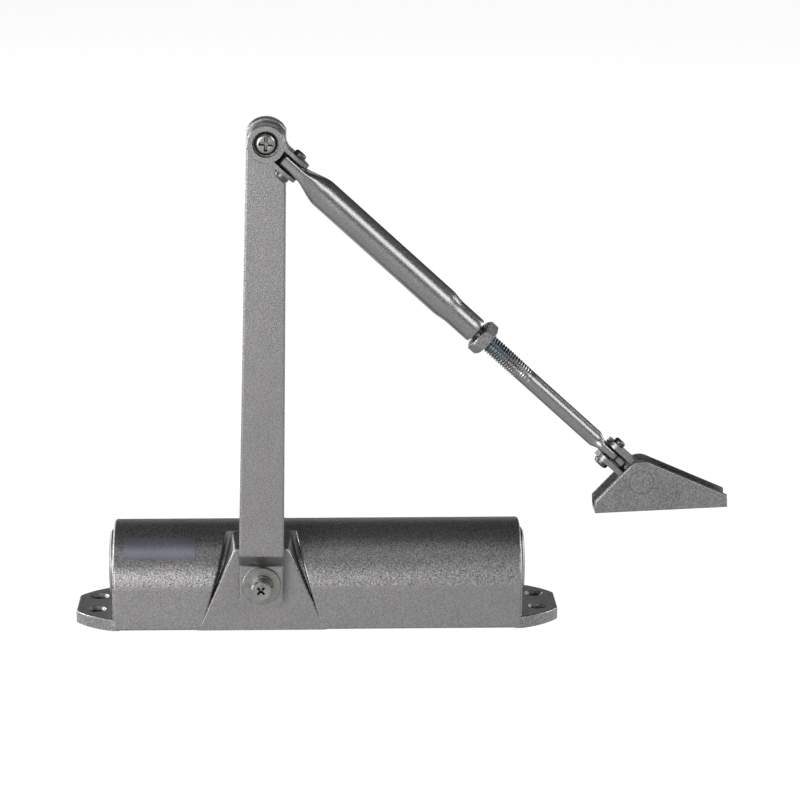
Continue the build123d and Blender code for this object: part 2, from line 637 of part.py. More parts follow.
with BuildPart() as elbow_washer:
    with BuildSketch(facing(ELBOW_X, ARM_FRONT_Y, ELBOW_Z)):
        Circle(8.1)
        Circle(POST_RADIUS + 0.05, mode=Mode.SUBTRACT)
    extrude(amount=0.4)
elbow_washer.part.label = "elbow_washer"
export_step(elbow_washer.part, "parts/elbow_washer.step")

with BuildPart() as elbow_post:
    with BuildSketch(facing(ELBOW_X, ARM_FRONT_Y, ELBOW_Z)):
        Circle(POST_RADIUS)
    extrude(amount=ARM_FRONT_Y - POST_FRONT_Y)
    with BuildSketch(facing(ELBOW_X, ARM_FRONT_Y + ARM_THICKNESS, ELBOW_Z)):
        Circle(2.55)
    extrude(amount=ARM_THICKNESS)
    with BuildSketch(facing(ELBOW_X, ARM_FRONT_Y + ARM_THICKNESS + 1.2, ELBOW_Z)):
        Circle(4.4)
    extrude(amount=1.2)
    fillet(elbow_post.edges().sort_by(Axis.Y)[-1], 0.7)
    with BuildSketch(facing(ELBOW_X, POST_FRONT_Y, ELBOW_Z)):
        Circle(1.65)
    extrude(amount=-9, mode=Mode.SUBTRACT)
elbow_post.part.label = "elbow_post"
export_step(elbow_post.part, "parts/elbow_post.step")

elbow_screw_recess = cross_recess(facing(ELBOW_X, POST_FRONT_Y - 2.9, ELBOW_Z, 3), 6.0, 2.1)

with BuildPart() as elbow_screw:
    with BuildSketch(facing(ELBOW_X, POST_FRONT_Y, ELBOW_Z)):
        Circle(4.75)
    extrude(amount=2.9)
    fillet(elbow_screw.edges().sort_by(Axis.Y)[0], 2.0)
    with BuildSketch(facing(ELBOW_X, POST_FRONT_Y, ELBOW_Z)):
        Circle(1.6)
    extrude(amount=-8)
    add(elbow_screw_recess, mode=Mode.SUBTRACT)
elbow_screw.part.label = "elbow_screw"
export_step(elbow_screw.part, "parts/elbow_screw.step")

with BuildPart() as elbow_fork:
    with BuildSketch(facing(ELBOW_X, FORK_BACK_Y, ELBOW_Z, FOREARM_FALL)):
        Circle(FORK_RADIUS)
        for flip in (1, -1):
            ear = [(2, 7.2), (5.2, 5.9), (8.6, 4.7), (21.5, 4.7), (21.5, 3.15), (4, 3.15)]
            Polygon(*[(x, flip * y) for x, y in ear], align=None)
    extrude(amount=FORK_DEPTH)
    with BuildSketch(under_forearm(0)):
        with Locations((EAR_ARC_S / 2 - 5, 0)):
            Rectangle(EAR_ARC_S + 10, FORK_DEPTH)
        with Locations((EAR_ARC_S, 0)):
            Circle(FORK_DEPTH / 2)
    extrude(amount=12, both=True, mode=Mode.INTERSECT)
    with BuildSketch(facing(ELBOW_X, 0, ELBOW_Z)):
        Circle(POST_RADIUS + RUNNING_GAP)
    extrude(amount=80, mode=Mode.SUBTRACT)
    with BuildSketch(facing(ELBOW_X, FORK_BACK_Y - FORK_DEPTH, ELBOW_Z)):
        Circle(RECESS_RADIUS)
    extrude(amount=-RECESS_DEPTH, mode=Mode.SUBTRACT)
    with BuildSketch(under_forearm(ELBOW_RIVET_S)):
        Circle(2.0)
    extrude(amount=12, both=True, mode=Mode.SUBTRACT)
    chamfer(elbow_fork.edges().group_by(Axis.Y)[0].sort_by(SortBy.LENGTH)[-1], 0.4)
elbow_fork.part.label = "elbow_fork"
export_step(elbow_fork.part, "parts/elbow_fork.step")


def rivet(distance, shank, ear_outside, big_head, small_head):
    """A rivet through a fork: a domed head below, an upset head above. Heads are (radius, height)."""
    with BuildPart() as made:
        with BuildSketch(under_forearm(distance)):
            Circle(shank)
        extrude(amount=ear_outside, both=True)
        with BuildSketch(under_forearm(distance, -ear_outside)):
            Circle(big_head[0])
        extrude(amount=-big_head[1])
        with BuildSketch(under_forearm(distance, ear_outside)):
            Circle(small_head[0])
        extrude(amount=small_head[1])
        ends = made.faces().filter_by(under_forearm(0)).sort_by(Axis.Z)
        fillet(ends[0].edges(), 1.3)
        fillet(ends[-1].edges(), 0.9)
    return made


elbow_rivet = rivet(ELBOW_RIVET_S, 1.95, 4.8, (3.5, 2.8), (2.7, 1.9))
elbow_rivet.part.label = "elbow_rivet"
export_step(elbow_rivet.part, "parts/elbow_rivet.step")

# ---------------------------------------------------------------- forearm tube

TONGUE_START = 9.3
TONGUE_END = 20.0
TONGUE_DEPTH = 13.6
SWELL_END = 29.5
SWAGE_START = 98.7
SWAGE_END = 106.0
NECK_RADIUS = 5.5
TUBE_END = 117.5

with BuildPart() as forearm_tube:
    with BuildSketch(across_forearm(TONGUE_END)):
        RectangleRounded(TONGUE_DEPTH, 2 * TONGUE_HALF, 2.2)
    with BuildSketch(across_forearm(SWELL_END)):
        Circle(TUBE_RADIUS)
    loft()
    with BuildSketch(across_forearm(SWELL_END)):
        Circle(TUBE_RADIUS)
    extrude(amount=SWAGE_START - SWELL_END)
    with BuildSketch(across_forearm(SWAGE_START)):
        Circle(TUBE_RADIUS)
    with BuildSketch(across_forearm(SWAGE_END)):
        Circle(NECK_RADIUS)
    loft()
    with BuildSketch(across_forearm(SWAGE_END)):
        Circle(NECK_RADIUS)
    extrude(amount=TUBE_END - SWAGE_END)
    with BuildSketch(across_forearm(TONGUE_END)):
        RectangleRounded(TONGUE_DEPTH, 2 * TONGUE_HALF, 2.2)
    extrude(amount=TONGUE_START - TONGUE_END)
    with BuildSketch(across_forearm(TUBE_END)):
        Circle(THREAD_RADIUS + RUNNING_GAP)
    extrude(amount=-62, mode=Mode.SUBTRACT)
    with BuildSketch(under_forearm(ELBOW_RIVET_S)):
        Circle(1.95 + RUNNING_GAP)
    extrude(amount=12, both=True, mode=Mode.SUBTRACT)
forearm_tube.part.label = "forearm_tube"
export_step(forearm_tube.part, "parts/forearm_tube.step")

# ---------------------------------------------------------------- lock nut

NUT_START = 119.2
NUT_THICKNESS = 5.2
NUT_ACROSS_FLATS = 13.0

with BuildPart() as lock_nut:
    with BuildSketch(across_forearm(NUT_START)):
        RegularPolygon(NUT_ACROSS_FLATS / 2, 6, major_radius=False, rotation=30)
    extrude(amount=NUT_THICKNESS)
    corner = NUT_ACROSS_FLATS / 2 / cos(pi / 6)
    with BuildSketch(facing(ELBOW_X, FOREARM_Y, ELBOW_Z, FOREARM_FALL)):
        with BuildLine():
            bevel, inner = 0.9, NUT_ACROSS_FLATS / 2 - 0.2
            nut_end = NUT_START + NUT_THICKNESS
            Polyline(
                (NUT_START, 0), (NUT_START, inner), (NUT_START + bevel, corner + 0.05),
                (nut_end - bevel, corner + 0.05), (nut_end, inner), (nut_end, 0), (NUT_START, 0),
            )
        make_face()
    nut_direction = across_forearm(0).z_dir
    revolve(axis=Axis(across_forearm(0).origin, nut_direction), mode=Mode.INTERSECT)
    with BuildSketch(across_forearm(NUT_START)):
        Circle(THREAD_RADIUS + RUNNING_GAP)
    extrude(amount=NUT_THICKNESS, mode=Mode.SUBTRACT)
lock_nut.part.label = "lock_nut"
export_step(lock_nut.part, "parts/lock_nut.step")

# ---------------------------------------------------------------- adjusting rod

THREAD_START = 86.0
THREAD_END = 147.3
ROD_FLAT_START = 184.0
ROD_TONGUE_START = 189.0
ROD_TONGUE_HALF = 2.1
ROD_TONGUE_DEPTH = 9.0
THREAD_DEPTH = 0.7

with BuildPart() as adjusting_rod:
    with BuildSketch(facing(ELBOW_X, FOREARM_Y, ELBOW_Z, FOREARM_FALL)):
        with BuildLine():
            crests = int((THREAD_END - THREAD_START) / THREAD_PITCH)
            profile = [(THREAD_START, 0)]
            for index in range(crests):
                start = THREAD_START + index * THREAD_PITCH
                profile += [(start, THREAD_RADIUS - THREAD_DEPTH)]
                profile += [(start + THREAD_PITCH * 0.4, THREAD_RADIUS)]
                profile += [(start + THREAD_PITCH * 0.6, THREAD_RADIUS)]
            profile += [(THREAD_END, ROD_RADIUS - 0.4), (THREAD_END + 0.6, ROD_RADIUS)]
            profile += [(ROD_FLAT_START, ROD_RADIUS), (ROD_FLAT_START, 0), (THREAD_START, 0)]
            Polyline(*profile)
        make_face()
    revolve(axis=Axis(across_forearm(0).origin, nut_direction))
    with BuildSketch(across_forearm(ROD_FLAT_START)):
        Circle(ROD_RADIUS)
    with BuildSketch(across_forearm(ROD_TONGUE_START)):
        RectangleRounded(ROD_TONGUE_DEPTH, 2 * ROD_TONGUE_HALF, 1.5)
    loft()
    with BuildSketch(under_forearm(0, -ROD_TONGUE_HALF)):
        with Locations(((ROD_TONGUE_START + SHOE_RIVET_S) / 2, 0)):
            Rectangle(SHOE_RIVET_S - ROD_TONGUE_START, ROD_TONGUE_DEPTH)
        with Locations((SHOE_RIVET_S, 0)):
            Circle(ROD_TONGUE_DEPTH / 2)
        with Locations((SHOE_RIVET_S + 3.0, 0)):
            Rectangle(8.4, 6.0)
    extrude(amount=2 * ROD_TONGUE_HALF)
    with BuildSketch(under_forearm(SHOE_RIVET_S)):
        Circle(1.65 + RUNNING_GAP)
    extrude(amount=12, both=True, mode=Mode.SUBTRACT)
adjusting_rod.part.label = "adjusting_rod"
export_step(adjusting_rod.part, "parts/adjusting_rod.step")

# ---------------------------------------------------------------- shoe fork, rivet, pin and bracket

EYE_RADIUS = 7.3
SHOE_FORK_DEPTH = 9.4

with BuildPart() as shoe_fork:
    with BuildSketch(facing(SHOE_X, FOREARM_Y + SHOE_FORK_DEPTH / 2, SHOE_Z, FOREARM_FALL)):
        Circle(EYE_RADIUS)
        for flip in (1, -1):
            ear = [(-3, 5.4), (-9, 4.7), (-24, 4.7), (-24, 2.4), (-3, 2.4)]
            Polygon(*[(x, flip * y) for x, y in ear], align=None)
    extrude(amount=SHOE_FORK_DEPTH)
    with BuildSketch(under_forearm(0)):
        with Locations(((SHOE_RIVET_S + FOREARM_LENGTH + 10) / 2, 0)):
            Rectangle(FOREARM_LENGTH + 10 - SHOE_RIVET_S, SHOE_FORK_DEPTH)
        with Locations((SHOE_RIVET_S, 0)):
            Circle(SHOE_FORK_DEPTH / 2)
    extrude(amount=12, both=True, mode=Mode.INTERSECT)
    with BuildSketch(facing(SHOE_X, 0, SHOE_Z)):
        Circle(SHOE_PIN_RADIUS + RUNNING_GAP)
    extrude(amount=80, mode=Mode.SUBTRACT)
    with BuildSketch(under_forearm(SHOE_RIVET_S)):
        Circle(1.7)
    extrude(amount=12, both=True, mode=Mode.SUBTRACT)
shoe_fork.part.label = "shoe_fork"
export_step(shoe_fork.part, "parts/shoe_fork.step")

shoe_rivet = rivet(SHOE_RIVET_S, 1.65, 4.8, (3.3, 2.2), (2.5, 2.0))
shoe_rivet.part.label = "shoe_rivet"
export_step(shoe_rivet.part, "parts/shoe_rivet.step")

shoe_back_y = FOREARM_Y + SHOE_WIDTH / 2

with BuildPart() as shoe_pin:
    with BuildSketch(facing(SHOE_X, shoe_back_y, SHOE_Z)):
        Circle(SHOE_PIN_RADIUS)
    extrude(amount=SHOE_WIDTH)
    chamfer(shoe_pin.edges().filter_by(GeomType.CIRCLE), 0.15)
shoe_pin.part.label = "shoe_pin"
export_step(shoe_pin.part, "parts/shoe_pin.step")

with BuildPart() as shoe_bracket:
    with BuildSketch(facing(SHOE_X, shoe_back_y, SHOE_Z, SHOE_TILT)):
        with BuildLine():
            left, right = -SHOE_PIN_IN, SHOE_LENGTH - SHOE_PIN_IN
            Polyline((-4.6, 7.2), (left, -SHOE_PIN_UP + 5.1), (left, -SHOE_PIN_UP), (right, -SHOE_PIN_UP))
            Polyline((right, -SHOE_PIN_UP), (right, -SHOE_PIN_UP + 5.2), (3.8, 8.3))
            ThreePointArc((3.8, 8.3), (0, 9.15), (-4.6, 7.2))
        make_face()
    extrude(amount=SHOE_WIDTH)
    rims = shoe_bracket.faces().filter_by(Axis.Y).edges()
    fillet(rims, SHOE_EDGE_ROUNDING)
    with BuildSketch(facing(SHOE_X, FOREARM_Y + SHOE_WIDTH / 2 - SHOE_WALL, SHOE_Z, SHOE_TILT)):
        with Locations(((left + right) / 2, -SHOE_PIN_UP + SHOE_WALL + 20)):
            Rectangle(SHOE_LENGTH + 4, 40)
    extrude(amount=SHOE_WIDTH - 2 * SHOE_WALL, mode=Mode.SUBTRACT)
    with BuildSketch(facing(SHOE_X, 0, SHOE_Z)):
        Circle(SHOE_PIN_RADIUS + 0.03)
    extrude(amount=80, mode=Mode.SUBTRACT)
    base_turn = radians(SHOE_TILT)
    base_up = Vector(sin(base_turn), 0, cos(base_turn))
    base_along = Vector(cos(base_turn), 0, -sin(base_turn))
    for along in SHOE_HOLES:
        foot = Vector(SHOE_X, FOREARM_Y, SHOE_Z) + base_along * along - base_up * SHOE_PIN_UP
        with BuildSketch(Plane(origin=foot, x_dir=base_along, z_dir=base_up)):
            Circle(SHOE_HOLE_RADIUS)
        extrude(amount=SHOE_WALL + 1, mode=Mode.SUBTRACT)
shoe_bracket.part.label = "shoe_bracket"
export_step(shoe_bracket.part, "parts/shoe_bracket.step")
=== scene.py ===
# %% [markdown]
# # A surface-mounted door closer with its folding arm
#
# The closer is a silver casting with a sprung piston inside. A flat steel arm is clamped to its spindle,
# and a second arm, a swaged tube with a threaded rod in it, runs down to a shoe on the door frame. The
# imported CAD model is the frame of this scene: every node already has its right size and place. Blender
# adds what CAD leaves out, which is the paint, the plating, the real thread and the rounded tube.

# %% Load the frame
import json
from math import atan2, cos, degrees, pi, radians, sin, sqrt

import bmesh
import bpy
from mathutils import Matrix, Vector


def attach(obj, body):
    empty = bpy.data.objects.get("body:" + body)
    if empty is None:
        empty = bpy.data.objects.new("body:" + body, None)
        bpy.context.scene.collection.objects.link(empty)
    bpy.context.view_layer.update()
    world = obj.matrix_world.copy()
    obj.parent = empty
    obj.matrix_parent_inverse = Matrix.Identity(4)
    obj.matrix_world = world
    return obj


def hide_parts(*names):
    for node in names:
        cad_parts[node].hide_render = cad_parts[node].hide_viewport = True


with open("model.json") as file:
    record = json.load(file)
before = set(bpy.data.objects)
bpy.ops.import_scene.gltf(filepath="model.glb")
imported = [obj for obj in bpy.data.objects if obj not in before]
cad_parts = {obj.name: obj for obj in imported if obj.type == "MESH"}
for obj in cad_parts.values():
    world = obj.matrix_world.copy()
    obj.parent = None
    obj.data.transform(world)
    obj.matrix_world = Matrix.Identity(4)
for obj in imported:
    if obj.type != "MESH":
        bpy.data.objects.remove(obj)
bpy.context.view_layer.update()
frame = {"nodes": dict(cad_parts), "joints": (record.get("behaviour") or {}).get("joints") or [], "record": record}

# %% [markdown]
# ## Reading directions from the joints
#
# The forearm lies along a slope, so its pieces are easier to make in its own directions. They could be
# typed in as angles, but the frame already knows the pivots: the elbow and the shoe pin give the line of
# the forearm, and the two rivets' axes give the direction square to it.

# %% The forearm's own directions
joints = {joint["name"]: joint for joint in frame["joints"]}
MM = 0.001
ELBOW = Vector(joints["elbow_turn"]["pos_m"])
SHOE = Vector(joints["shoe_turn"]["pos_m"])
ALONG = (SHOE - ELBOW).normalized()
DEPTH = Vector((0, 1, 0))
RISE = DEPTH.cross(ALONG) * -1
if RISE.z < 0:
    RISE.negate()
print("forearm falls", round(degrees(atan2(-ALONG.z, ALONG.x)), 1), "degrees over",
      round((SHOE - ELBOW).length / MM, 1), "mm")


def forearm_point(distance, depth=0.0, rise=0.0):
    """A point this far down the forearm, and off its axis in depth and upwards, all in millimetres."""
    return ELBOW + (ALONG * distance + DEPTH * depth + RISE * rise) * MM


def forearm_distance(point):
    """How far down the forearm a point is, in millimetres."""
    return (Vector(point) - ELBOW).dot(ALONG) / MM


def node_span(node):
    """Where a node starts and ends along the forearm, in millimetres."""
    reach = [forearm_distance(vertex.co) for vertex in frame["nodes"][node].data.vertices]
    return min(reach), max(reach)


print("tube runs", [round(end, 1) for end in node_span("forearm_tube")])

# %% [markdown]
# ## Camera
#
# A long lens a little above the closer and a touch to its left. Its distance and angles are the only
# numbers; the place follows from them. The small roll is what a hand-levelled tripod leaves.

# %% Place the camera
AIM = Vector((36.4, 0, 96.9)) * MM
CAMERA_DISTANCE = 1.194
CAMERA_RISE = radians(13.21)
CAMERA_SWING = radians(-2.07)
CAMERA_ROLL = radians(0.20)
SENSOR_WIDTH = 36.0
LENS = 122.8
FARTHEST_SEEN = 60


def seen_from(swing, rise):
    """The direction from the closer towards a viewer at this swing and rise."""
    return Vector((sin(swing) * cos(rise), -cos(swing) * cos(rise), sin(rise)))


def turned_to(place, target, roll=0.0):
    """The matrix of a camera or a lamp at a place, turned to a target and rolled about its own line."""
    forward = (target - place).normalized()
    right = forward.cross(Vector((0, 0, 1))).normalized()
    up = right.cross(forward)
    rolled_right = right * cos(roll) + up * sin(roll)
    rolled_up = up * cos(roll) - right * sin(roll)
    turn = Matrix((rolled_right, rolled_up, -forward)).transposed()
    return Matrix.Translation(place) @ turn.to_4x4()


camera_data = bpy.data.cameras.new("studio_camera")
camera_data.sensor_width = SENSOR_WIDTH
camera_data.lens = LENS
camera_data.clip_end = FARTHEST_SEEN
camera = bpy.data.objects.new("studio_camera", camera_data)
bpy.context.scene.collection.objects.link(camera)
camera_place = AIM + seen_from(CAMERA_SWING, CAMERA_RISE) * CAMERA_DISTANCE
camera.matrix_world = turned_to(camera_place, AIM, CAMERA_ROLL)
bpy.context.scene.camera = camera
bpy.context.scene.view_settings.view_transform = "Standard"
print("camera at", [round(value, 3) for value in camera.matrix_world.translation])

# %% [markdown]
# ## Floor and light
#
# Metallic paint shows its surroundings more than its own colour, so the light is shaped by what the paint
# should mirror. The strongest softbox stands low at the front left, for the barrel and the flat faces. A
# second one at the right is where the sloping tube mirrors it as a bright line. A tall strip at each side
# draws the rounded edges, and the fills behind keep the back from going black. Only a weak lamp hangs
# overhead, so the top of the barrel falls off into dark, and the glowing floor lights the upright faces
# from below. The ground that the closer covers gets no light, so a dark patch of painted shadow lies under it
# and is seen through the screw holes.

# %% Floor
FLOOR_HALF = 14.0
FLOOR_DROP = 0.0002
FLOOR_COLOUR = (0.12, 0.12, 0.12)
FLOOR_GLOW = 0.95
# The patch under the closer is painted shadow: a near-black sheet where the covered ground is in shade.
SHADOW_PATCH_HALF_LENGTH = 0.1005
SHADOW_PATCH_HALF_DEPTH = 0.0135
SHADOW_PATCH_DROP = 0.0001
PAINTED_SHADOW_COLOUR = (0.03, 0.03, 0.03)
DUSTY = 0.9


def plain_material(name, colour, roughness):
    """A material with a Principled shader, and that shader."""
    material = bpy.data.materials.new(name)
    material.use_nodes = True
    shader = material.node_tree.nodes["Principled BSDF"]
    shader.inputs["Base Color"].default_value = (*colour, 1)
    shader.inputs["Roughness"].default_value = roughness
    return material, shader


def level_corners(half_length, half_depth, drop):
    """The four corners of a level rectangle this far under the closer's mounting face."""
    signs = ((-1, -1), (1, -1), (1, 1), (-1, 1))
    return [(x * half_length, y * half_depth, -drop) for x, y in signs]


floor_finish, floor_shader = plain_material("pale_floor", FLOOR_COLOUR, DUSTY)
floor_shader.inputs["Specular IOR Level"].default_value = 0.0
floor_shader.inputs["Emission Color"].default_value = (1, 1, 1, 1)
floor_shader.inputs["Emission Strength"].default_value = FLOOR_GLOW
# The painted shadow under the closer is a second face of the floor, in its own dark material.
painted_shadow_finish, _ = plain_material("painted_shadow_under_closer", PAINTED_SHADOW_COLOUR, DUSTY)
floor_mesh = bpy.data.meshes.new("floor")
corners = level_corners(FLOOR_HALF, FLOOR_HALF, FLOOR_DROP)
corners += level_corners(SHADOW_PATCH_HALF_LENGTH, SHADOW_PATCH_HALF_DEPTH, SHADOW_PATCH_DROP)
floor_mesh.from_pydata(corners, [], [(0, 1, 2, 3), (4, 5, 6, 7)])
floor_mesh.materials.append(floor_finish)
floor_mesh.materials.append(painted_shadow_finish)
floor_mesh.polygons[1].material_index = 1
floor = bpy.data.objects.new("floor", floor_mesh)
bpy.context.scene.collection.objects.link(floor)

# %% Softboxes
CLOSER_MIDDLE = Vector((0.02, 0, 0.10))


def softbox(name, swing, rise, distance, width, height, watts):
    """A rectangular lamp that faces the closer: swing and rise in degrees, distance and size in metres."""
    lamp = bpy.data.lights.new(name, "AREA")
    lamp.shape = "RECTANGLE"
    lamp.size = width
    lamp.size_y = height
    lamp.energy = watts
    stand = bpy.data.objects.new(name, lamp)
    bpy.context.scene.collection.objects.link(stand)
    place = CLOSER_MIDDLE + seen_from(radians(swing), radians(rise)) * distance
    stand.matrix_world = turned_to(place, CLOSER_MIDDLE)


softbox("front_left_softbox", swing=-27, rise=8, distance=2.2, width=1.2, height=0.9, watts=46)
softbox("upper_right_softbox", swing=41, rise=24, distance=2.2, width=1.0, height=1.0, watts=22)
softbox("top_softbox", swing=-17, rise=60, distance=2.4, width=1.3, height=0.8, watts=5.8)
softbox("left_strip", swing=-97, rise=14, distance=1.5, width=0.35, height=1.1, watts=32)
softbox("right_strip", swing=98, rise=12, distance=1.7, width=0.25, height=0.9, watts=14)
softbox("back_left_fill", swing=-138, rise=14, distance=2.4, width=0.9, height=0.7, watts=20)
softbox("back_low_fill", swing=179, rise=13, distance=2.4, width=0.9, height=0.35, watts=1.1)
softbox("back_right_fill", swing=116, rise=12, distance=2.4, width=0.9, height=0.7, watts=14)
print("lamps:", sorted(item.name for item in bpy.data.lights))

# %% The dim room, which only the camera sees as white
ROOM_LIGHT = (0.052, 0.052, 0.054, 1)
ROOM_SEEN = (1.0, 1.0, 1.0, 1)
world = bpy.data.worlds.new("dim_room")
bpy.context.scene.world = world
world.use_nodes = True
room = world.node_tree.nodes
background = room["Background"]
seen_colour = room.new("ShaderNodeMix")
seen_colour.data_type = "RGBA"
seen_colour.inputs["A"].default_value = ROOM_LIGHT
seen_colour.inputs["B"].default_value = ROOM_SEEN
ray_kind = room.new("ShaderNodeLightPath")
world.node_tree.links.new(ray_kind.outputs["Is Camera Ray"], seen_colour.inputs["Factor"])
world.node_tree.links.new(seen_colour.outputs["Result"], background.inputs["Color"])
print("room light", [round(value, 3) for value in ROOM_LIGHT[:3]])

# %% [markdown]
# ## Shared surface effects
#
# Silver powder coat is clear lacquer full of aluminium flakes over a slightly lumpy skin. Plating is
# brighter and shows faint drawing marks. Both effects are needed on many pieces with other strengths, so
# each is a node group that is built once. A group only gives a colour, a roughness and a normal: the
# shader itself stays in each material.

# %% Node group helpers


def shader_group(name, inputs, outputs):
    """An empty shader node group with named sockets, and its two end nodes."""
    tree = bpy.data.node_groups.new(name, "ShaderNodeTree")
    for label, kind, value in inputs:
        socket = tree.interface.new_socket(label, in_out="INPUT", socket_type=kind)
        socket.default_value = value
    for label, kind in outputs:
        tree.interface.new_socket(label, in_out="OUTPUT", socket_type=kind)
    return tree, tree.nodes.new("NodeGroupInput"), tree.nodes.new("NodeGroupOutput")


def math_node(tree, operation, first, second=None, third=None):
    """A Math node whose inputs are sockets or numbers; gives its output."""
    node = tree.nodes.new("ShaderNodeMath")
    node.operation = operation
    for slot, value in zip(node.inputs, (first, second, third)):
        if value is None:
            continue
        if isinstance(value, bpy.types.NodeSocket):
            tree.links.new(value, slot)
        else:
            slot.default_value = value
    return node.outputs[0]


MM_IN_METRE = 1000.0


def noise_node(tree, place, size, detail=2.0, roughness=0.5):
    """Noise whose lumps are about this many millimetres across; gives its 0 to 1 output."""
    node = tree.nodes.new("ShaderNodeTexNoise")
    node.inputs["Detail"].default_value = detail
    node.inputs["Roughness"].default_value = roughness
    tree.links.new(place, node.inputs["Vector"])
    if isinstance(size, bpy.types.NodeSocket):
        tree.links.new(math_node(tree, "DIVIDE", MM_IN_METRE, size), node.inputs["Scale"])
    else:
        node.inputs["Scale"].default_value = MM_IN_METRE / size
    return node.outputs["Fac"]


def tinted(tree, colour, factor):
    """A colour socket made lighter or darker by a factor socket."""
    node = tree.nodes.new("ShaderNodeVectorMath")
    node.operation = "SCALE"
    tree.links.new(colour, node.inputs[0])
    tree.links.new(factor, node.inputs["Scale"])
    return node.outputs[0]


def bumped(tree, height, depth_mm):
    """A Bump node's normal for a 0 to 1 height that stands for this many millimetres."""
    node = tree.nodes.new("ShaderNodeBump")
    node.inputs["Strength"].default_value = 1.0
    tree.links.new(math_node(tree, "MULTIPLY", depth_mm, MM), node.inputs["Distance"])
    tree.links.new(height, node.inputs["Height"])
    return node.outputs["Normal"]


NUMBER = "NodeSocketFloat"
COLOUR = "NodeSocketColor"
VECTOR = "NodeSocketVector"
SURFACE = [("Colour", COLOUR), ("Roughness", NUMBER), ("Normal", VECTOR)]

# %% Silver powder coat: flakes, cloudiness and orange peel
CLOUD_SIZE = 14.0
PEEL_SIZE = 0.9
DARKEST_FLAKE = 0.25
ROUGHER_FLAKE = 0.25
FLAKE_STANDS_OUT = 0.6
CALM_LOSS = 0.65  # how much of the flakes' contrast the calm faces lose
coat_tree, coat_in, coat_out = shader_group(
    "flake_coat",
    [
        ("Colour", COLOUR, (0.35, 0.35, 0.35, 1)),
        ("Roughness", NUMBER, 0.4),
        ("Flake size", NUMBER, 0.5),
        ("Flake contrast", NUMBER, 0.9),
        ("Cloud contrast", NUMBER, 0.15),
        ("Peel depth", NUMBER, 0.03),
        ("Calm beyond", NUMBER, 1000.0),
    ],
    SURFACE,
)
coat_place = coat_tree.nodes.new("ShaderNodeTexCoord").outputs["Object"]
flakes = noise_node(coat_tree, coat_place, coat_in.outputs["Flake size"], detail=3.0, roughness=0.7)
clouds = noise_node(coat_tree, coat_place, CLOUD_SIZE, detail=3.0)
peel = noise_node(coat_tree, coat_place, PEEL_SIZE, detail=1.0)
flake_shift = math_node(coat_tree, "SUBTRACT", flakes, 0.5)
cloud_shift = math_node(coat_tree, "SUBTRACT", clouds, 0.5)
across = coat_tree.nodes.new("ShaderNodeSeparateXYZ")
coat_tree.links.new(coat_place, across.inputs[0])
off_centre = math_node(coat_tree, "ABSOLUTE", across.outputs["Y"])
calm_edge = math_node(coat_tree, "MULTIPLY", coat_in.outputs["Calm beyond"], MM)
calm = math_node(coat_tree, "GREATER_THAN", off_centre, calm_edge)
liveliness = math_node(coat_tree, "MULTIPLY_ADD", calm, -CALM_LOSS, 1.0)
flake_strength = math_node(coat_tree, "MULTIPLY", coat_in.outputs["Flake contrast"], liveliness)
flake_sum = math_node(coat_tree, "MULTIPLY_ADD", flake_shift, flake_strength, 1.0)
flake_part = math_node(coat_tree, "MAXIMUM", flake_sum, DARKEST_FLAKE)
cloud_part = math_node(coat_tree, "MULTIPLY_ADD", cloud_shift, coat_in.outputs["Cloud contrast"], 1.0)
coat_factor = math_node(coat_tree, "MULTIPLY", flake_part, cloud_part)
coat_links = coat_tree.links
coat_links.new(tinted(coat_tree, coat_in.outputs["Colour"], coat_factor), coat_out.inputs["Colour"])
coat_rough = math_node(coat_tree, "MULTIPLY_ADD", flake_shift, ROUGHER_FLAKE, coat_in.outputs["Roughness"])
coat_links.new(coat_rough, coat_out.inputs["Roughness"])
skin = math_node(coat_tree, "MULTIPLY_ADD", flakes, FLAKE_STANDS_OUT, peel)
coat_links.new(bumped(coat_tree, skin, coat_in.outputs["Peel depth"]), coat_out.inputs["Normal"])
print("flake_coat has", len(coat_tree.nodes), "nodes")

# %% Drawn or plated metal: streaks and mottling
STREAK_SIZE = 0.4
STREAK_CONTRAST = 0.35
MOTTLE_SIZE = 2.5
ROUGHER_MOTTLE = 0.3
metal_tree, metal_in, metal_out = shader_group(
    "worked_metal",
    [
        ("Colour", COLOUR, (0.5, 0.5, 0.5, 1)),
        ("Roughness", NUMBER, 0.3),
        ("Streak stretch", VECTOR, (1, 1, 1)),
        ("Mottle", NUMBER, 0.3),
        ("Mark depth", NUMBER, 0.01),
    ],
    SURFACE,
)
metal_place = metal_tree.nodes.new("ShaderNodeTexCoord").outputs["Object"]
stretch = metal_tree.nodes.new("ShaderNodeVectorMath")
stretch.operation = "MULTIPLY"
metal_links = metal_tree.links
metal_links.new(metal_place, stretch.inputs[0])
metal_links.new(metal_in.outputs["Streak stretch"], stretch.inputs[1])
streaks = noise_node(metal_tree, stretch.outputs[0], STREAK_SIZE, detail=3.0, roughness=0.6)
mottling = noise_node(metal_tree, metal_place, MOTTLE_SIZE, detail=4.0, roughness=0.6)
mottle_shift = math_node(metal_tree, "SUBTRACT", mottling, 0.5)
streak_shift = math_node(metal_tree, "SUBTRACT", streaks, 0.5)
mottle_part = math_node(metal_tree, "MULTIPLY_ADD", mottle_shift, metal_in.outputs["Mottle"], 1.0)
metal_factor = math_node(metal_tree, "MULTIPLY_ADD", streak_shift, STREAK_CONTRAST, mottle_part)
metal_links.new(tinted(metal_tree, metal_in.outputs["Colour"], metal_factor), metal_out.inputs["Colour"])
even_rough = metal_in.outputs["Roughness"]
metal_rough = math_node(metal_tree, "MULTIPLY_ADD", mottle_shift, ROUGHER_MOTTLE, even_rough)
metal_links.new(metal_rough, metal_out.inputs["Roughness"])
metal_links.new(bumped(metal_tree, streaks, metal_in.outputs["Mark depth"]), metal_out.inputs["Normal"])
print("worked_metal has", len(metal_tree.nodes), "nodes")

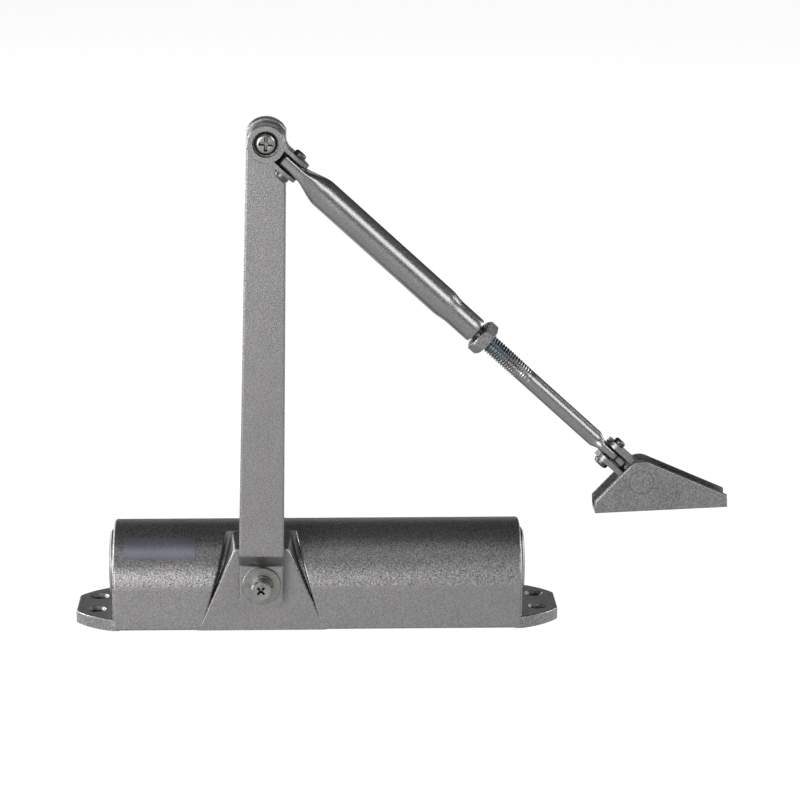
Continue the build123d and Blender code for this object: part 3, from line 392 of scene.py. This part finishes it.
# %% [markdown]
# ## The finishes
#
# Every finish is one of the two effects with its own values. Rubber, plastic and film use the coat's
# effect too, with weak flakes that read as a fine grain. Colours are the surface's own, as it would look
# under even light. Sizes and depths are in millimetres.

# %% Finish maker


def finish(name, effect, colour, roughness, metallic, **settings):
    """A material whose Principled shader is fed by an effect group with these input values."""
    material, shader = plain_material(name, colour, roughness)
    shader.inputs["Metallic"].default_value = metallic
    tree = material.node_tree
    group = tree.nodes.new("ShaderNodeGroup")
    group.node_tree = effect
    group.inputs["Colour"].default_value = (*colour, 1)
    group.inputs["Roughness"].default_value = roughness
    for label, value in settings.items():
        group.inputs[label.replace("_", " ").capitalize()].default_value = value
    tree.links.new(group.outputs["Colour"], shader.inputs["Base Color"])
    tree.links.new(group.outputs["Roughness"], shader.inputs["Roughness"])
    tree.links.new(group.outputs["Normal"], shader.inputs["Normal"])
    return material


# %% Painted pieces
FLAT_SIDE = 24.9  # the casting's flat sides and pads are ground before painting, so they are calmer
COATED = 0.92
ARM_COAT = (0.184, 0.179, 0.180)
cast_silver = finish(
    "cast_silver", coat_tree, colour=(0.182, 0.177, 0.178), roughness=0.40, metallic=COATED,
    flake_size=0.6, flake_contrast=3.8, cloud_contrast=0.2, peel_depth=0.06, calm_beyond=FLAT_SIDE,
)
arm_silver = finish(
    "arm_silver", coat_tree, colour=ARM_COAT, roughness=0.36, metallic=COATED,
    flake_size=0.45, flake_contrast=2.8, cloud_contrast=0.2, peel_depth=0.04,
)
tube_silver = finish(
    "tube_silver", coat_tree, colour=ARM_COAT, roughness=0.31, metallic=COATED,
    flake_size=0.4, flake_contrast=2.0, cloud_contrast=0.2, peel_depth=0.018,
)
fork_silver = finish(
    "fork_silver", coat_tree, colour=(0.168, 0.164, 0.165), roughness=0.38, metallic=COATED,
    flake_size=0.5, flake_contrast=2.8, cloud_contrast=0.4, peel_depth=0.05,
)

# %% Plated and bare metal
washer_zinc = finish(
    "washer_zinc", metal_tree, colour=(0.175, 0.175, 0.165), roughness=0.34, metallic=1.0,
    mottle=0.9, mark_depth=0.012,
)
screw_zinc = finish(
    "screw_zinc", metal_tree, colour=(0.21, 0.21, 0.20), roughness=0.30, metallic=1.0,
    mottle=0.9, mark_depth=0.012,
)
turned_steel = finish(
    "turned_steel", metal_tree, colour=(0.26, 0.255, 0.25), roughness=0.36, metallic=1.0,
    streak_stretch=(4, 0.3, 4), mottle=0.35, mark_depth=0.008,
)
rivet_steel = finish(
    "rivet_steel", metal_tree, colour=(0.075, 0.075, 0.078), roughness=0.36, metallic=0.95,
    mottle=1.1, mark_depth=0.02,
)
spring_steel = finish(
    "spring_steel", metal_tree, colour=(0.08, 0.08, 0.088), roughness=0.3, metallic=1.0,
    streak_stretch=(0.4, 3, 3), mottle=0.4, mark_depth=0.01,
)
ground_iron = finish(
    "ground_iron", metal_tree, colour=(0.18, 0.18, 0.19), roughness=0.42, metallic=1.0,
    streak_stretch=(0.3, 4, 4), mottle=0.5, mark_depth=0.012,
)

# %% Rubber, plastic and film
seal_rubber = finish(
    "seal_rubber", coat_tree, colour=(0.018, 0.018, 0.019), roughness=0.6, metallic=0.0,
    flake_size=0.4, flake_contrast=0.5, cloud_contrast=0.4, peel_depth=0.02,
)
slide_plastic = finish(
    "slide_plastic", coat_tree, colour=(0.62, 0.58, 0.48), roughness=0.5, metallic=0.0,
    flake_size=0.8, flake_contrast=0.25, cloud_contrast=0.2, peel_depth=0.015,
)
cap_plastic = finish(
    "cap_plastic", coat_tree, colour=(0.2, 0.2, 0.21), roughness=0.5, metallic=0.0,
    flake_size=0.6, flake_contrast=0.4, cloud_contrast=0.15, peel_depth=0.03,
)
blank_film = finish(
    "blank_film", coat_tree, colour=(0.145, 0.153, 0.178), roughness=0.32, metallic=0.75,
    flake_size=0.6, flake_contrast=1.0, cloud_contrast=0.15, peel_depth=0.006,
)
print("finishes:", len(bpy.data.materials))

# %% [markdown]
# ## Zinc under overspray
#
# The rod is zinc plated, and its lower part is painted with the rest of the arm while the lock nut shields
# the top of the thread. The two finishes are mixed by how far along the forearm a point is, with noise to
# make the edge of the spray uneven. The distance comes from Object coordinates, so it stays with the rod.

# %% Overspray group and the thread's finish
DROPLET_SIZE = 1.2
SPATTER_REACH = 6.0
spray_tree, spray_in, spray_out = shader_group(
    "overspray",
    [("Line", VECTOR, (1, 0, 0)), ("Start", NUMBER, 0.1), ("Fade", NUMBER, 0.01)],
    [("Mask", NUMBER)],
)
spray_place = spray_tree.nodes.new("ShaderNodeTexCoord").outputs["Object"]
reach_along = spray_tree.nodes.new("ShaderNodeVectorMath")
reach_along.operation = "DOT_PRODUCT"
spray_tree.links.new(spray_place, reach_along.inputs[0])
spray_tree.links.new(spray_in.outputs["Line"], reach_along.inputs[1])
droplets = noise_node(spray_tree, spray_place, DROPLET_SIZE, detail=3.0)
spatter = math_node(spray_tree, "MULTIPLY_ADD", droplets, SPATTER_REACH * MM, -SPATTER_REACH / 2 * MM)
sprayed = math_node(spray_tree, "ADD", reach_along.outputs["Value"], spatter)
past_start = math_node(spray_tree, "SUBTRACT", sprayed, spray_in.outputs["Start"])
spray_share = math_node(spray_tree, "DIVIDE", past_start, spray_in.outputs["Fade"])
above_none = math_node(spray_tree, "MAXIMUM", spray_share, 0.0)
spray_tree.links.new(math_node(spray_tree, "MINIMUM", above_none, 1.0), spray_out.inputs["Mask"])

SPRAY_START = 130.0
SPRAY_FADE = 7.0
SPRAY_FLAKES = 2.2
thread_zinc = finish(
    "thread_zinc", metal_tree, colour=(0.15, 0.185, 0.195), roughness=0.30, metallic=0.96,
    mottle=0.8, mark_depth=0.01,
)
thread_nodes = thread_zinc.node_tree.nodes
thread_shader = thread_nodes["Principled BSDF"]
thread_coat = thread_nodes.new("ShaderNodeGroup")
thread_coat.node_tree = coat_tree
thread_coat.inputs["Colour"].default_value = (*ARM_COAT, 1)
thread_coat.inputs["Flake contrast"].default_value = SPRAY_FLAKES
spray = thread_nodes.new("ShaderNodeGroup")
spray.node_tree = spray_tree
spray.inputs["Line"].default_value = ALONG
spray.inputs["Start"].default_value = ELBOW.dot(ALONG) + SPRAY_START * MM
spray.inputs["Fade"].default_value = SPRAY_FADE * MM
spray_mix = thread_nodes.new("ShaderNodeMix")
spray_mix.data_type = "RGBA"
plating = next(node for node in thread_nodes if node.type == "GROUP" and node.node_tree == metal_tree)
mix_links = thread_zinc.node_tree.links
mix_links.new(spray.outputs["Mask"], spray_mix.inputs["Factor"])
mix_links.new(plating.outputs["Colour"], spray_mix.inputs["A"])
mix_links.new(thread_coat.outputs["Colour"], spray_mix.inputs["B"])
mix_links.new(spray_mix.outputs["Result"], thread_shader.inputs["Base Color"])
print("overspray starts", SPRAY_START, "mm down the forearm")

# %% [markdown]
# ## Dressing the CAD pieces
#
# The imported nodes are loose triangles. That is enough to collide and to measure, but light would show
# each facet. A copy with its corners joined, smooth where the metal is round and sharp where it is cut,
# keeps the exact shape and takes light like a casting or a pressing. Weighted normals keep big flat faces
# flat beside a small rounded edge. The copy stands for the node and rides on the same body.

# %% Dress helper
BODY_OF = {node: body for body, nodes in frame["record"]["behaviour"]["bodies"].items() for node in nodes}
JOIN_WITHIN = 2e-6
SHARP_PAST = 32.0
BIG_FACE_WEIGHT = 90


def shade(mesh, sharp_angle):
    """Smooth shading with sharp edges past this angle in degrees."""
    mesh.polygons.foreach_set("use_smooth", [True] * len(mesh.polygons))
    mesh.set_sharp_from_angle(angle=radians(sharp_angle))
    mesh.update()


def settle(piece, node):
    """Puts a finished piece in the scene, on its node's body and in its node's place, and hides the node."""
    bpy.context.scene.collection.objects.link(piece)
    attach(piece, BODY_OF[node])
    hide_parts(node)


def dress(node, material, sharp_angle=SHARP_PAST):
    """Makes a joined, smooth-shaded copy of a CAD node in this material, which stands for the node."""
    mesh = frame["nodes"][node].data.copy()
    for spare in ("custom_normal", "UVMap"):
        if spare in mesh.attributes:
            mesh.attributes.remove(mesh.attributes[spare])
    shell = bmesh.new()
    shell.from_mesh(mesh)
    bmesh.ops.remove_doubles(shell, verts=shell.verts, dist=JOIN_WITHIN)
    shell.to_mesh(mesh)
    shell.free()
    mesh.name = node + "_dressed"
    mesh.materials.clear()
    mesh.materials.append(material)
    shade(mesh, sharp_angle)
    piece = bpy.data.objects.new(node + "_dressed", mesh)
    weighting = piece.modifiers.new("weighted_normals", "WEIGHTED_NORMAL")
    weighting.keep_sharp = True
    weighting.weight = BIG_FACE_WEIGHT
    settle(piece, node)


# %% [markdown]
# ## Housing, plugs and the blank plate
#
# The housing is one die casting: a barrel, two flat spindle pads in tapered pockets and a screw lug at
# each end, all under one coat. The plugs that close its bore stay bare. The plate on the barrel is left
# blank.

# %% Dress the housing group
dress("housing", cast_silver, sharp_angle=28)
for node in ("end_plug_left", "end_plug_right", "gland_nut_front", "gland_nut_back"):
    dress(node, turned_steel)
for node in ("closing_speed_valve", "latching_speed_valve"):
    dress(node, screw_zinc)
dress("spindle_cap", cap_plastic)
dress("name_plate", blank_film)
print("housing group dressed")

# %% [markdown]
# ## Spindle, main arm and its fixing
#
# The arm is 5 mm strip, pressed with a step so that its end reaches back to the spindle. A zinc washer,
# a split lock washer and a cross-recessed screw clamp it.

# %% Dress the arm group
dress("main_arm", arm_silver, sharp_angle=34)
dress("spindle", turned_steel)
dress("arm_washer", washer_zinc)
dress("arm_lock_washer", washer_zinc)
dress("arm_screw", screw_zinc)
dress("elbow_post", turned_steel)
dress("elbow_washer", washer_zinc)
dress("elbow_screw", screw_zinc)
print("arm group dressed")

# %% [markdown]
# ## Elbow fork and shoe
#
# Both forks are small forgings under the same silver coat, and their rivets show darker steel. The shoe
# is a channel of folded sheet with a pin across it.

# %% Dress the forks and the shoe
dress("elbow_fork", fork_silver)
dress("elbow_rivet", rivet_steel)
dress("shoe_fork", fork_silver)
dress("shoe_rivet", rivet_steel)
dress("shoe_bracket", fork_silver)
dress("shoe_pin", fork_silver)
dress("lock_nut", fork_silver)
print("forks and shoe dressed")

# %% [markdown]
# ## The swaged tube
#
# The forearm's upper half is a drawn tube. One end is pressed flat to a tongue that fits the elbow fork,
# and the other is swaged down to a neck with a female thread. A loft in CAD gives straight facets
# between the flat and the round, so here the section is worked out ring by ring: a superellipse whose
# half height, half depth and squareness all ease from one end to the other. The rings lie close together
# where the section changes and far apart where it stays the same.

# %% Ring and loft helpers
AROUND = 72
LOFT_SHARP_PAST = 40.0
ELLIPSE = 2.0


def share_between(value, start, end):
    """0 before start, 1 after end, and in proportion between."""
    return min(max((value - start) / (end - start), 0.0), 1.0)


def eased(value, start, end):
    """0 before start, 1 after end, and a smooth step between."""
    share = share_between(value, start, end)
    return share * share * (3 - 2 * share)


def blended(share, first, second):
    """The value this share of the way from first to second."""
    return first + (second - first) * share


def power(value, exponent):
    """A power that keeps its sign."""
    return abs(value) ** exponent * (1 if value >= 0 else -1)


def section(distance, half_depth, half_rise, squareness=ELLIPSE):
    """One ring of points around the forearm's axis. More squareness brings it nearer to a rectangle."""
    ring = []
    for step in range(AROUND):
        angle = 2 * pi * step / AROUND
        depth = half_depth * power(cos(angle), 2 / squareness)
        rise = half_rise * power(sin(angle), 2 / squareness)
        ring.append(forearm_point(distance, depth, rise))
    return ring


def round_section(distance, radius):
    """One round ring of points around the forearm's axis."""
    return section(distance, radius, radius)


def steps(start, end, count):
    """Evenly spaced values from start to end, both included."""
    return [start + (end - start) * index / count for index in range(count + 1)]


def lofted(name, rings, material):
    """A closed skin over a list of rings, with its ends capped and its normals outward."""
    shell = bmesh.new()
    loops = [[shell.verts.new(point) for point in ring] for ring in rings]
    for near, far in zip(loops, loops[1:]):
        for step in range(AROUND):
            after = (step + 1) % AROUND
            shell.faces.new((near[step], near[after], far[after], far[step]))
    shell.faces.new(loops[0])
    shell.faces.new(list(reversed(loops[-1])))
    bmesh.ops.remove_doubles(shell, verts=shell.verts, dist=JOIN_WITHIN)
    bmesh.ops.recalc_face_normals(shell, faces=shell.faces)
    mesh = bpy.data.meshes.new(name)
    shell.to_mesh(mesh)
    shell.free()
    mesh.materials.append(material)
    shade(mesh, LOFT_SHARP_PAST)
    return bpy.data.objects.new(name, mesh)


# %% The tube's own sizes, mm
TONGUE_START, TUBE_END = node_span("forearm_tube")
TONGUE_LENGTH = 10.7
SWELL_LENGTH = 12.0
NECK_LENGTH = 11.5
SWAGE_LENGTH = 7.3
TONGUE_END = TONGUE_START + TONGUE_LENGTH
ROUND_START = TONGUE_END + SWELL_LENGTH
SWAGE_END = TUBE_END - NECK_LENGTH
SWAGE_START = SWAGE_END - SWAGE_LENGTH
TONGUE_HALF_DEPTH = 6.8
TONGUE_HALF_RISE = 2.9
TONGUE_SQUARENESS = 4.0
SQUARE_UNTIL = 0.8
TUBE_RADIUS = 6.25
NECK_RADIUS = 5.5
BORE_RADIUS = 4.05
BORE_DEPTH = 24.0
BEVEL = 0.5
EARLY_SWELL = 0.45  # 0 would ease at both ends of the swell, 1 would leave the tongue at full slope


def tube_section(distance):
    """The tube's outer ring this far down the forearm. It swells quickly, then eases into the round."""
    share = share_between(distance, TONGUE_END, ROUND_START)
    round_share = blended(EARLY_SWELL, eased(share, 0, 1), sin(share * pi / 2))
    swage = eased(distance, SWAGE_START, SWAGE_END)
    radius = blended(swage, TUBE_RADIUS, NECK_RADIUS)
    half_depth = blended(round_share, TONGUE_HALF_DEPTH, radius)
    half_rise = blended(round_share, TONGUE_HALF_RISE, radius)
    squareness = blended(eased(share, 0, SQUARE_UNTIL), TONGUE_SQUARENESS, ELLIPSE)
    return section(distance, half_depth, half_rise, squareness)


# %% Loft the tube: the tongue, the swell, the round, the swage, the neck, its rim and its bore
CURVE_GAP = 0.4
ROUND_GAP = 3
NECK_GAP = 2
RIM_DIP = 0.15
outer_stretches = [  # each from, to and how many steps
    (TONGUE_START + BEVEL, TONGUE_END, 4),
    (TONGUE_END + CURVE_GAP, ROUND_START, 22),
    (ROUND_START + ROUND_GAP, SWAGE_START, 12),
    (SWAGE_START + CURVE_GAP, SWAGE_END, 14),
    (SWAGE_END + NECK_GAP, TUBE_END - BEVEL, 4),
]
tube_rings = [section(TONGUE_START, TONGUE_HALF_DEPTH - BEVEL, TONGUE_HALF_RISE - BEVEL, TONGUE_SQUARENESS)]
for start, end, count in outer_stretches:
    tube_rings += [tube_section(distance) for distance in steps(start, end, count)]
tube_rings += [
    round_section(TUBE_END - RIM_DIP, NECK_RADIUS - RIM_DIP),
    round_section(TUBE_END, NECK_RADIUS - BEVEL),
    round_section(TUBE_END, BORE_RADIUS + BEVEL),
    round_section(TUBE_END - BEVEL, BORE_RADIUS),
    round_section(TUBE_END - BORE_DEPTH, BORE_RADIUS),
]
tube = lofted("forearm_tube_swaged", tube_rings, tube_silver)
settle(tube, "forearm_tube")
print("tube rings:", len(tube_rings))

# %% [markdown]
# ## The threaded rod
#
# The rod carries an M8 thread, one turn each 1.25 mm. A thread follows a rule exactly: the radius at any
# point depends only on how far along it is, less how far round. So Geometry Nodes roll a fine grid into a
# cylinder and push each point in or out by that rule. The plain shank and its flattened eye are lofted
# like the tube.

# %% Geometry Nodes helpers


def node_tree(name, inputs):
    """An empty geometry tree with named inputs, and its two end nodes."""
    tree = bpy.data.node_groups.new(name, "GeometryNodeTree")
    for label, kind, value in inputs:
        socket = tree.interface.new_socket(label, in_out="INPUT", socket_type=kind)
        if value is not None:
            socket.default_value = value
    tree.interface.new_socket("Geometry", in_out="OUTPUT", socket_type="NodeSocketGeometry")
    return tree, tree.nodes.new("NodeGroupInput"), tree.nodes.new("NodeGroupOutput")


def grown(name, tree, values):
    """The plain mesh that a tree makes with these input values, as a new object."""
    seed = bpy.data.objects.new(name + "_seed", bpy.data.meshes.new(name + "_seed"))
    bpy.context.scene.collection.objects.link(seed)
    modifier = seed.modifiers.new("grow", "NODES")
    modifier.node_group = tree
    for item in tree.interface.items_tree:
        if item.in_out == "INPUT" and item.name in values:
            modifier[item.identifier] = values[item.name]
    bpy.context.view_layer.update()
    grown_seed = seed.evaluated_get(bpy.context.evaluated_depsgraph_get())
    mesh = bpy.data.meshes.new_from_object(grown_seed)
    bpy.data.objects.remove(seed)
    mesh.name = name
    return bpy.data.objects.new(name, mesh)


# %% The thread tree
FLANK_SLOPE = 2.6
CREST_FLAT = 0.15
thread_tree, thread_in, thread_out = node_tree(
    "cut_thread",
    [
        ("Length", NUMBER, 0.06),
        ("Pitch", NUMBER, 0.00125),
        ("Crest radius", NUMBER, 0.004),
        ("Depth", NUMBER, 0.0007),
        ("Runout", NUMBER, 0.012),
        ("Shank radius", NUMBER, 0.00365),
        ("Rows", "NodeSocketInt", 400),
        ("Columns", "NodeSocketInt", 48),
        ("Finish", "NodeSocketMaterial", None),
    ],
)
grid = thread_tree.nodes.new("GeometryNodeMeshGrid")
grid.inputs["Size X"].default_value = 1.0
grid.inputs["Size Y"].default_value = 1.0
thread_links = thread_tree.links
thread_links.new(thread_in.outputs["Rows"], grid.inputs["Vertices X"])
thread_links.new(thread_in.outputs["Columns"], grid.inputs["Vertices Y"])
where = thread_tree.nodes.new("ShaderNodeSeparateXYZ")
thread_links.new(thread_tree.nodes.new("GeometryNodeInputPosition").outputs[0], where.inputs[0])
share_along = math_node(thread_tree, "ADD", where.outputs["X"], 0.5)
share_round = math_node(thread_tree, "ADD", where.outputs["Y"], 0.5)
reach = math_node(thread_tree, "MULTIPLY", share_along, thread_in.outputs["Length"])
turns = math_node(thread_tree, "DIVIDE", reach, thread_in.outputs["Pitch"])
phase = math_node(thread_tree, "FRACT", math_node(thread_tree, "SUBTRACT", turns, share_round))
slope = math_node(thread_tree, "ABSOLUTE", math_node(thread_tree, "SUBTRACT", phase, 0.5))
flank = math_node(thread_tree, "MULTIPLY_ADD", slope, FLANK_SLOPE, -CREST_FLAT)
cut = math_node(thread_tree, "MINIMUM", math_node(thread_tree, "MAXIMUM", flank, 0.0), 1.0)
left_over = math_node(thread_tree, "SUBTRACT", thread_in.outputs["Length"], reach)
fade_share = math_node(thread_tree, "DIVIDE", left_over, thread_in.outputs["Runout"])
fade = math_node(thread_tree, "MINIMUM", fade_share, 1.0)
groove = math_node(thread_tree, "MULTIPLY", cut, thread_in.outputs["Depth"])
full_radius = math_node(thread_tree, "SUBTRACT", thread_in.outputs["Crest radius"], groove)
over_shank = math_node(thread_tree, "SUBTRACT", full_radius, thread_in.outputs["Shank radius"])
radius = math_node(thread_tree, "MULTIPLY_ADD", over_shank, fade, thread_in.outputs["Shank radius"])
angle_round = math_node(thread_tree, "MULTIPLY", share_round, 2 * pi)
thread_x = math_node(thread_tree, "MULTIPLY", radius, math_node(thread_tree, "COSINE", angle_round))
thread_y = math_node(thread_tree, "MULTIPLY", radius, math_node(thread_tree, "SINE", angle_round))
rolled = thread_tree.nodes.new("ShaderNodeCombineXYZ")
thread_links.new(thread_x, rolled.inputs["X"])
thread_links.new(thread_y, rolled.inputs["Y"])
thread_links.new(reach, rolled.inputs["Z"])
roll_up = thread_tree.nodes.new("GeometryNodeSetPosition")
seam = thread_tree.nodes.new("GeometryNodeMergeByDistance")
seam.inputs["Distance"].default_value = JOIN_WITHIN
realize = thread_tree.nodes.new("GeometryNodeRealizeInstances")
painted = thread_tree.nodes.new("GeometryNodeSetMaterial")
thread_links.new(grid.outputs["Mesh"], roll_up.inputs["Geometry"])
thread_links.new(rolled.outputs[0], roll_up.inputs["Position"])
thread_links.new(roll_up.outputs[0], seam.inputs["Geometry"])
thread_links.new(seam.outputs[0], realize.inputs[0])
thread_links.new(realize.outputs[0], painted.inputs["Geometry"])
thread_links.new(thread_in.outputs["Finish"], painted.inputs["Material"])
thread_links.new(painted.outputs[0], thread_out.inputs["Geometry"])

# %% Roll the thread and put it on the forearm's axis
ROD_START, ROD_END = node_span("adjusting_rod")
THREAD_LENGTH = 61.3
THREAD_PITCH = 1.25
ROWS_PER_TURN = 10
THREAD_SHARP_PAST = 60
thread = grown("rod_thread", thread_tree, {
    "Length": THREAD_LENGTH * MM,
    "Pitch": THREAD_PITCH * MM,
    "Rows": int(THREAD_LENGTH / THREAD_PITCH * ROWS_PER_TURN),
    "Finish": thread_zinc,
})
rod_axes = Matrix((DEPTH, RISE, ALONG)).transposed().to_4x4()
thread.data.transform(Matrix.Translation(forearm_point(ROD_START)) @ rod_axes)
print("thread vertices:", len(thread.data.vertices))

# %% Loft the shank and the flattened eye
ROD_RADIUS = 3.65
THREAD_END = ROD_START + THREAD_LENGTH
FLAT_START = 186.0
FLAT_END = 190.5
EYE_CENTRE = forearm_distance(joints["shoe_tilt"]["pos_m"])
EYE_RADIUS = 4.5
EYE_HALF_RISE = 2.1
EYE_SQUARENESS = 3.2
TIP_HALF_DEPTH = 3.0
ROD_BEVEL = 0.4
TUCKED_IN = 1
SHANK_GAP = 2
PRESS_GAP = 0.3
EYE_GAP = 0.5


def rod_section(distance):
    """The rod's ring below its thread: round, then pressed flat, then rounded off past the rivet."""
    flat = eased(distance, FLAT_START, FLAT_END)
    past = max(distance - EYE_CENTRE, 0.0)
    eye_half_depth = max(sqrt(max(EYE_RADIUS**2 - past**2, 0.0)), TIP_HALF_DEPTH)
    half_depth = blended(flat, ROD_RADIUS, eye_half_depth)
    half_rise = blended(flat, ROD_RADIUS, EYE_HALF_RISE)
    return section(distance, half_depth, half_rise, blended(flat, ELLIPSE, EYE_SQUARENESS))


rod_stretches = [
    (THREAD_END + SHANK_GAP, FLAT_START, 12),
    (FLAT_START + PRESS_GAP, FLAT_END, 14),
    (FLAT_END + EYE_GAP, ROD_END - ROD_BEVEL, 16),
]
rod_rings = [round_section(THREAD_END - TUCKED_IN, ROD_RADIUS - ROD_BEVEL), rod_section(THREAD_END)]
for start, end, count in rod_stretches:
    rod_rings += [rod_section(distance) for distance in steps(start, end, count)]
rod_rings += [section(ROD_END, TIP_HALF_DEPTH - ROD_BEVEL, EYE_HALF_RISE - ROD_BEVEL, EYE_SQUARENESS)]
shank = lofted("adjusting_rod_shank", rod_rings, tube_silver)
settle(shank, "adjusting_rod")
shade(thread.data, THREAD_SHARP_PAST)
bpy.context.scene.collection.objects.link(thread)
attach(thread, BODY_OF["adjusting_rod"])
print("rod ends", round(ROD_START, 1), round(ROD_END, 1))

# %% [markdown]
# ## What is inside
#
# The piston, its rings, the spring, the bearings and the seals can't be seen until the closer is opened.
# Their CAD shapes are complete, so they stay as they are and only get their metals and rubbers.

# %% Give the hidden pieces their materials
HIDDEN = {
    "piston": ground_iron,
    "piston_ring_left": slide_plastic,
    "piston_ring_right": slide_plastic,
    "check_valve_seat": turned_steel,
    "check_valve_ball": screw_zinc,
    "closer_spring": spring_steel,
    "spindle_bearing_front": turned_steel,
    "spindle_bearing_back": turned_steel,
    "spindle_seal_front": seal_rubber,
    "spindle_seal_back": seal_rubber,
    "end_plug_seal_left": seal_rubber,
    "end_plug_seal_right": seal_rubber,
    "closing_valve_seal": seal_rubber,
    "latching_valve_seal": seal_rubber,
}
for node, material in HIDDEN.items():
    inner = frame["nodes"][node].data
    inner.materials.clear()
    inner.materials.append(material)
print("hidden pieces:", len(HIDDEN))
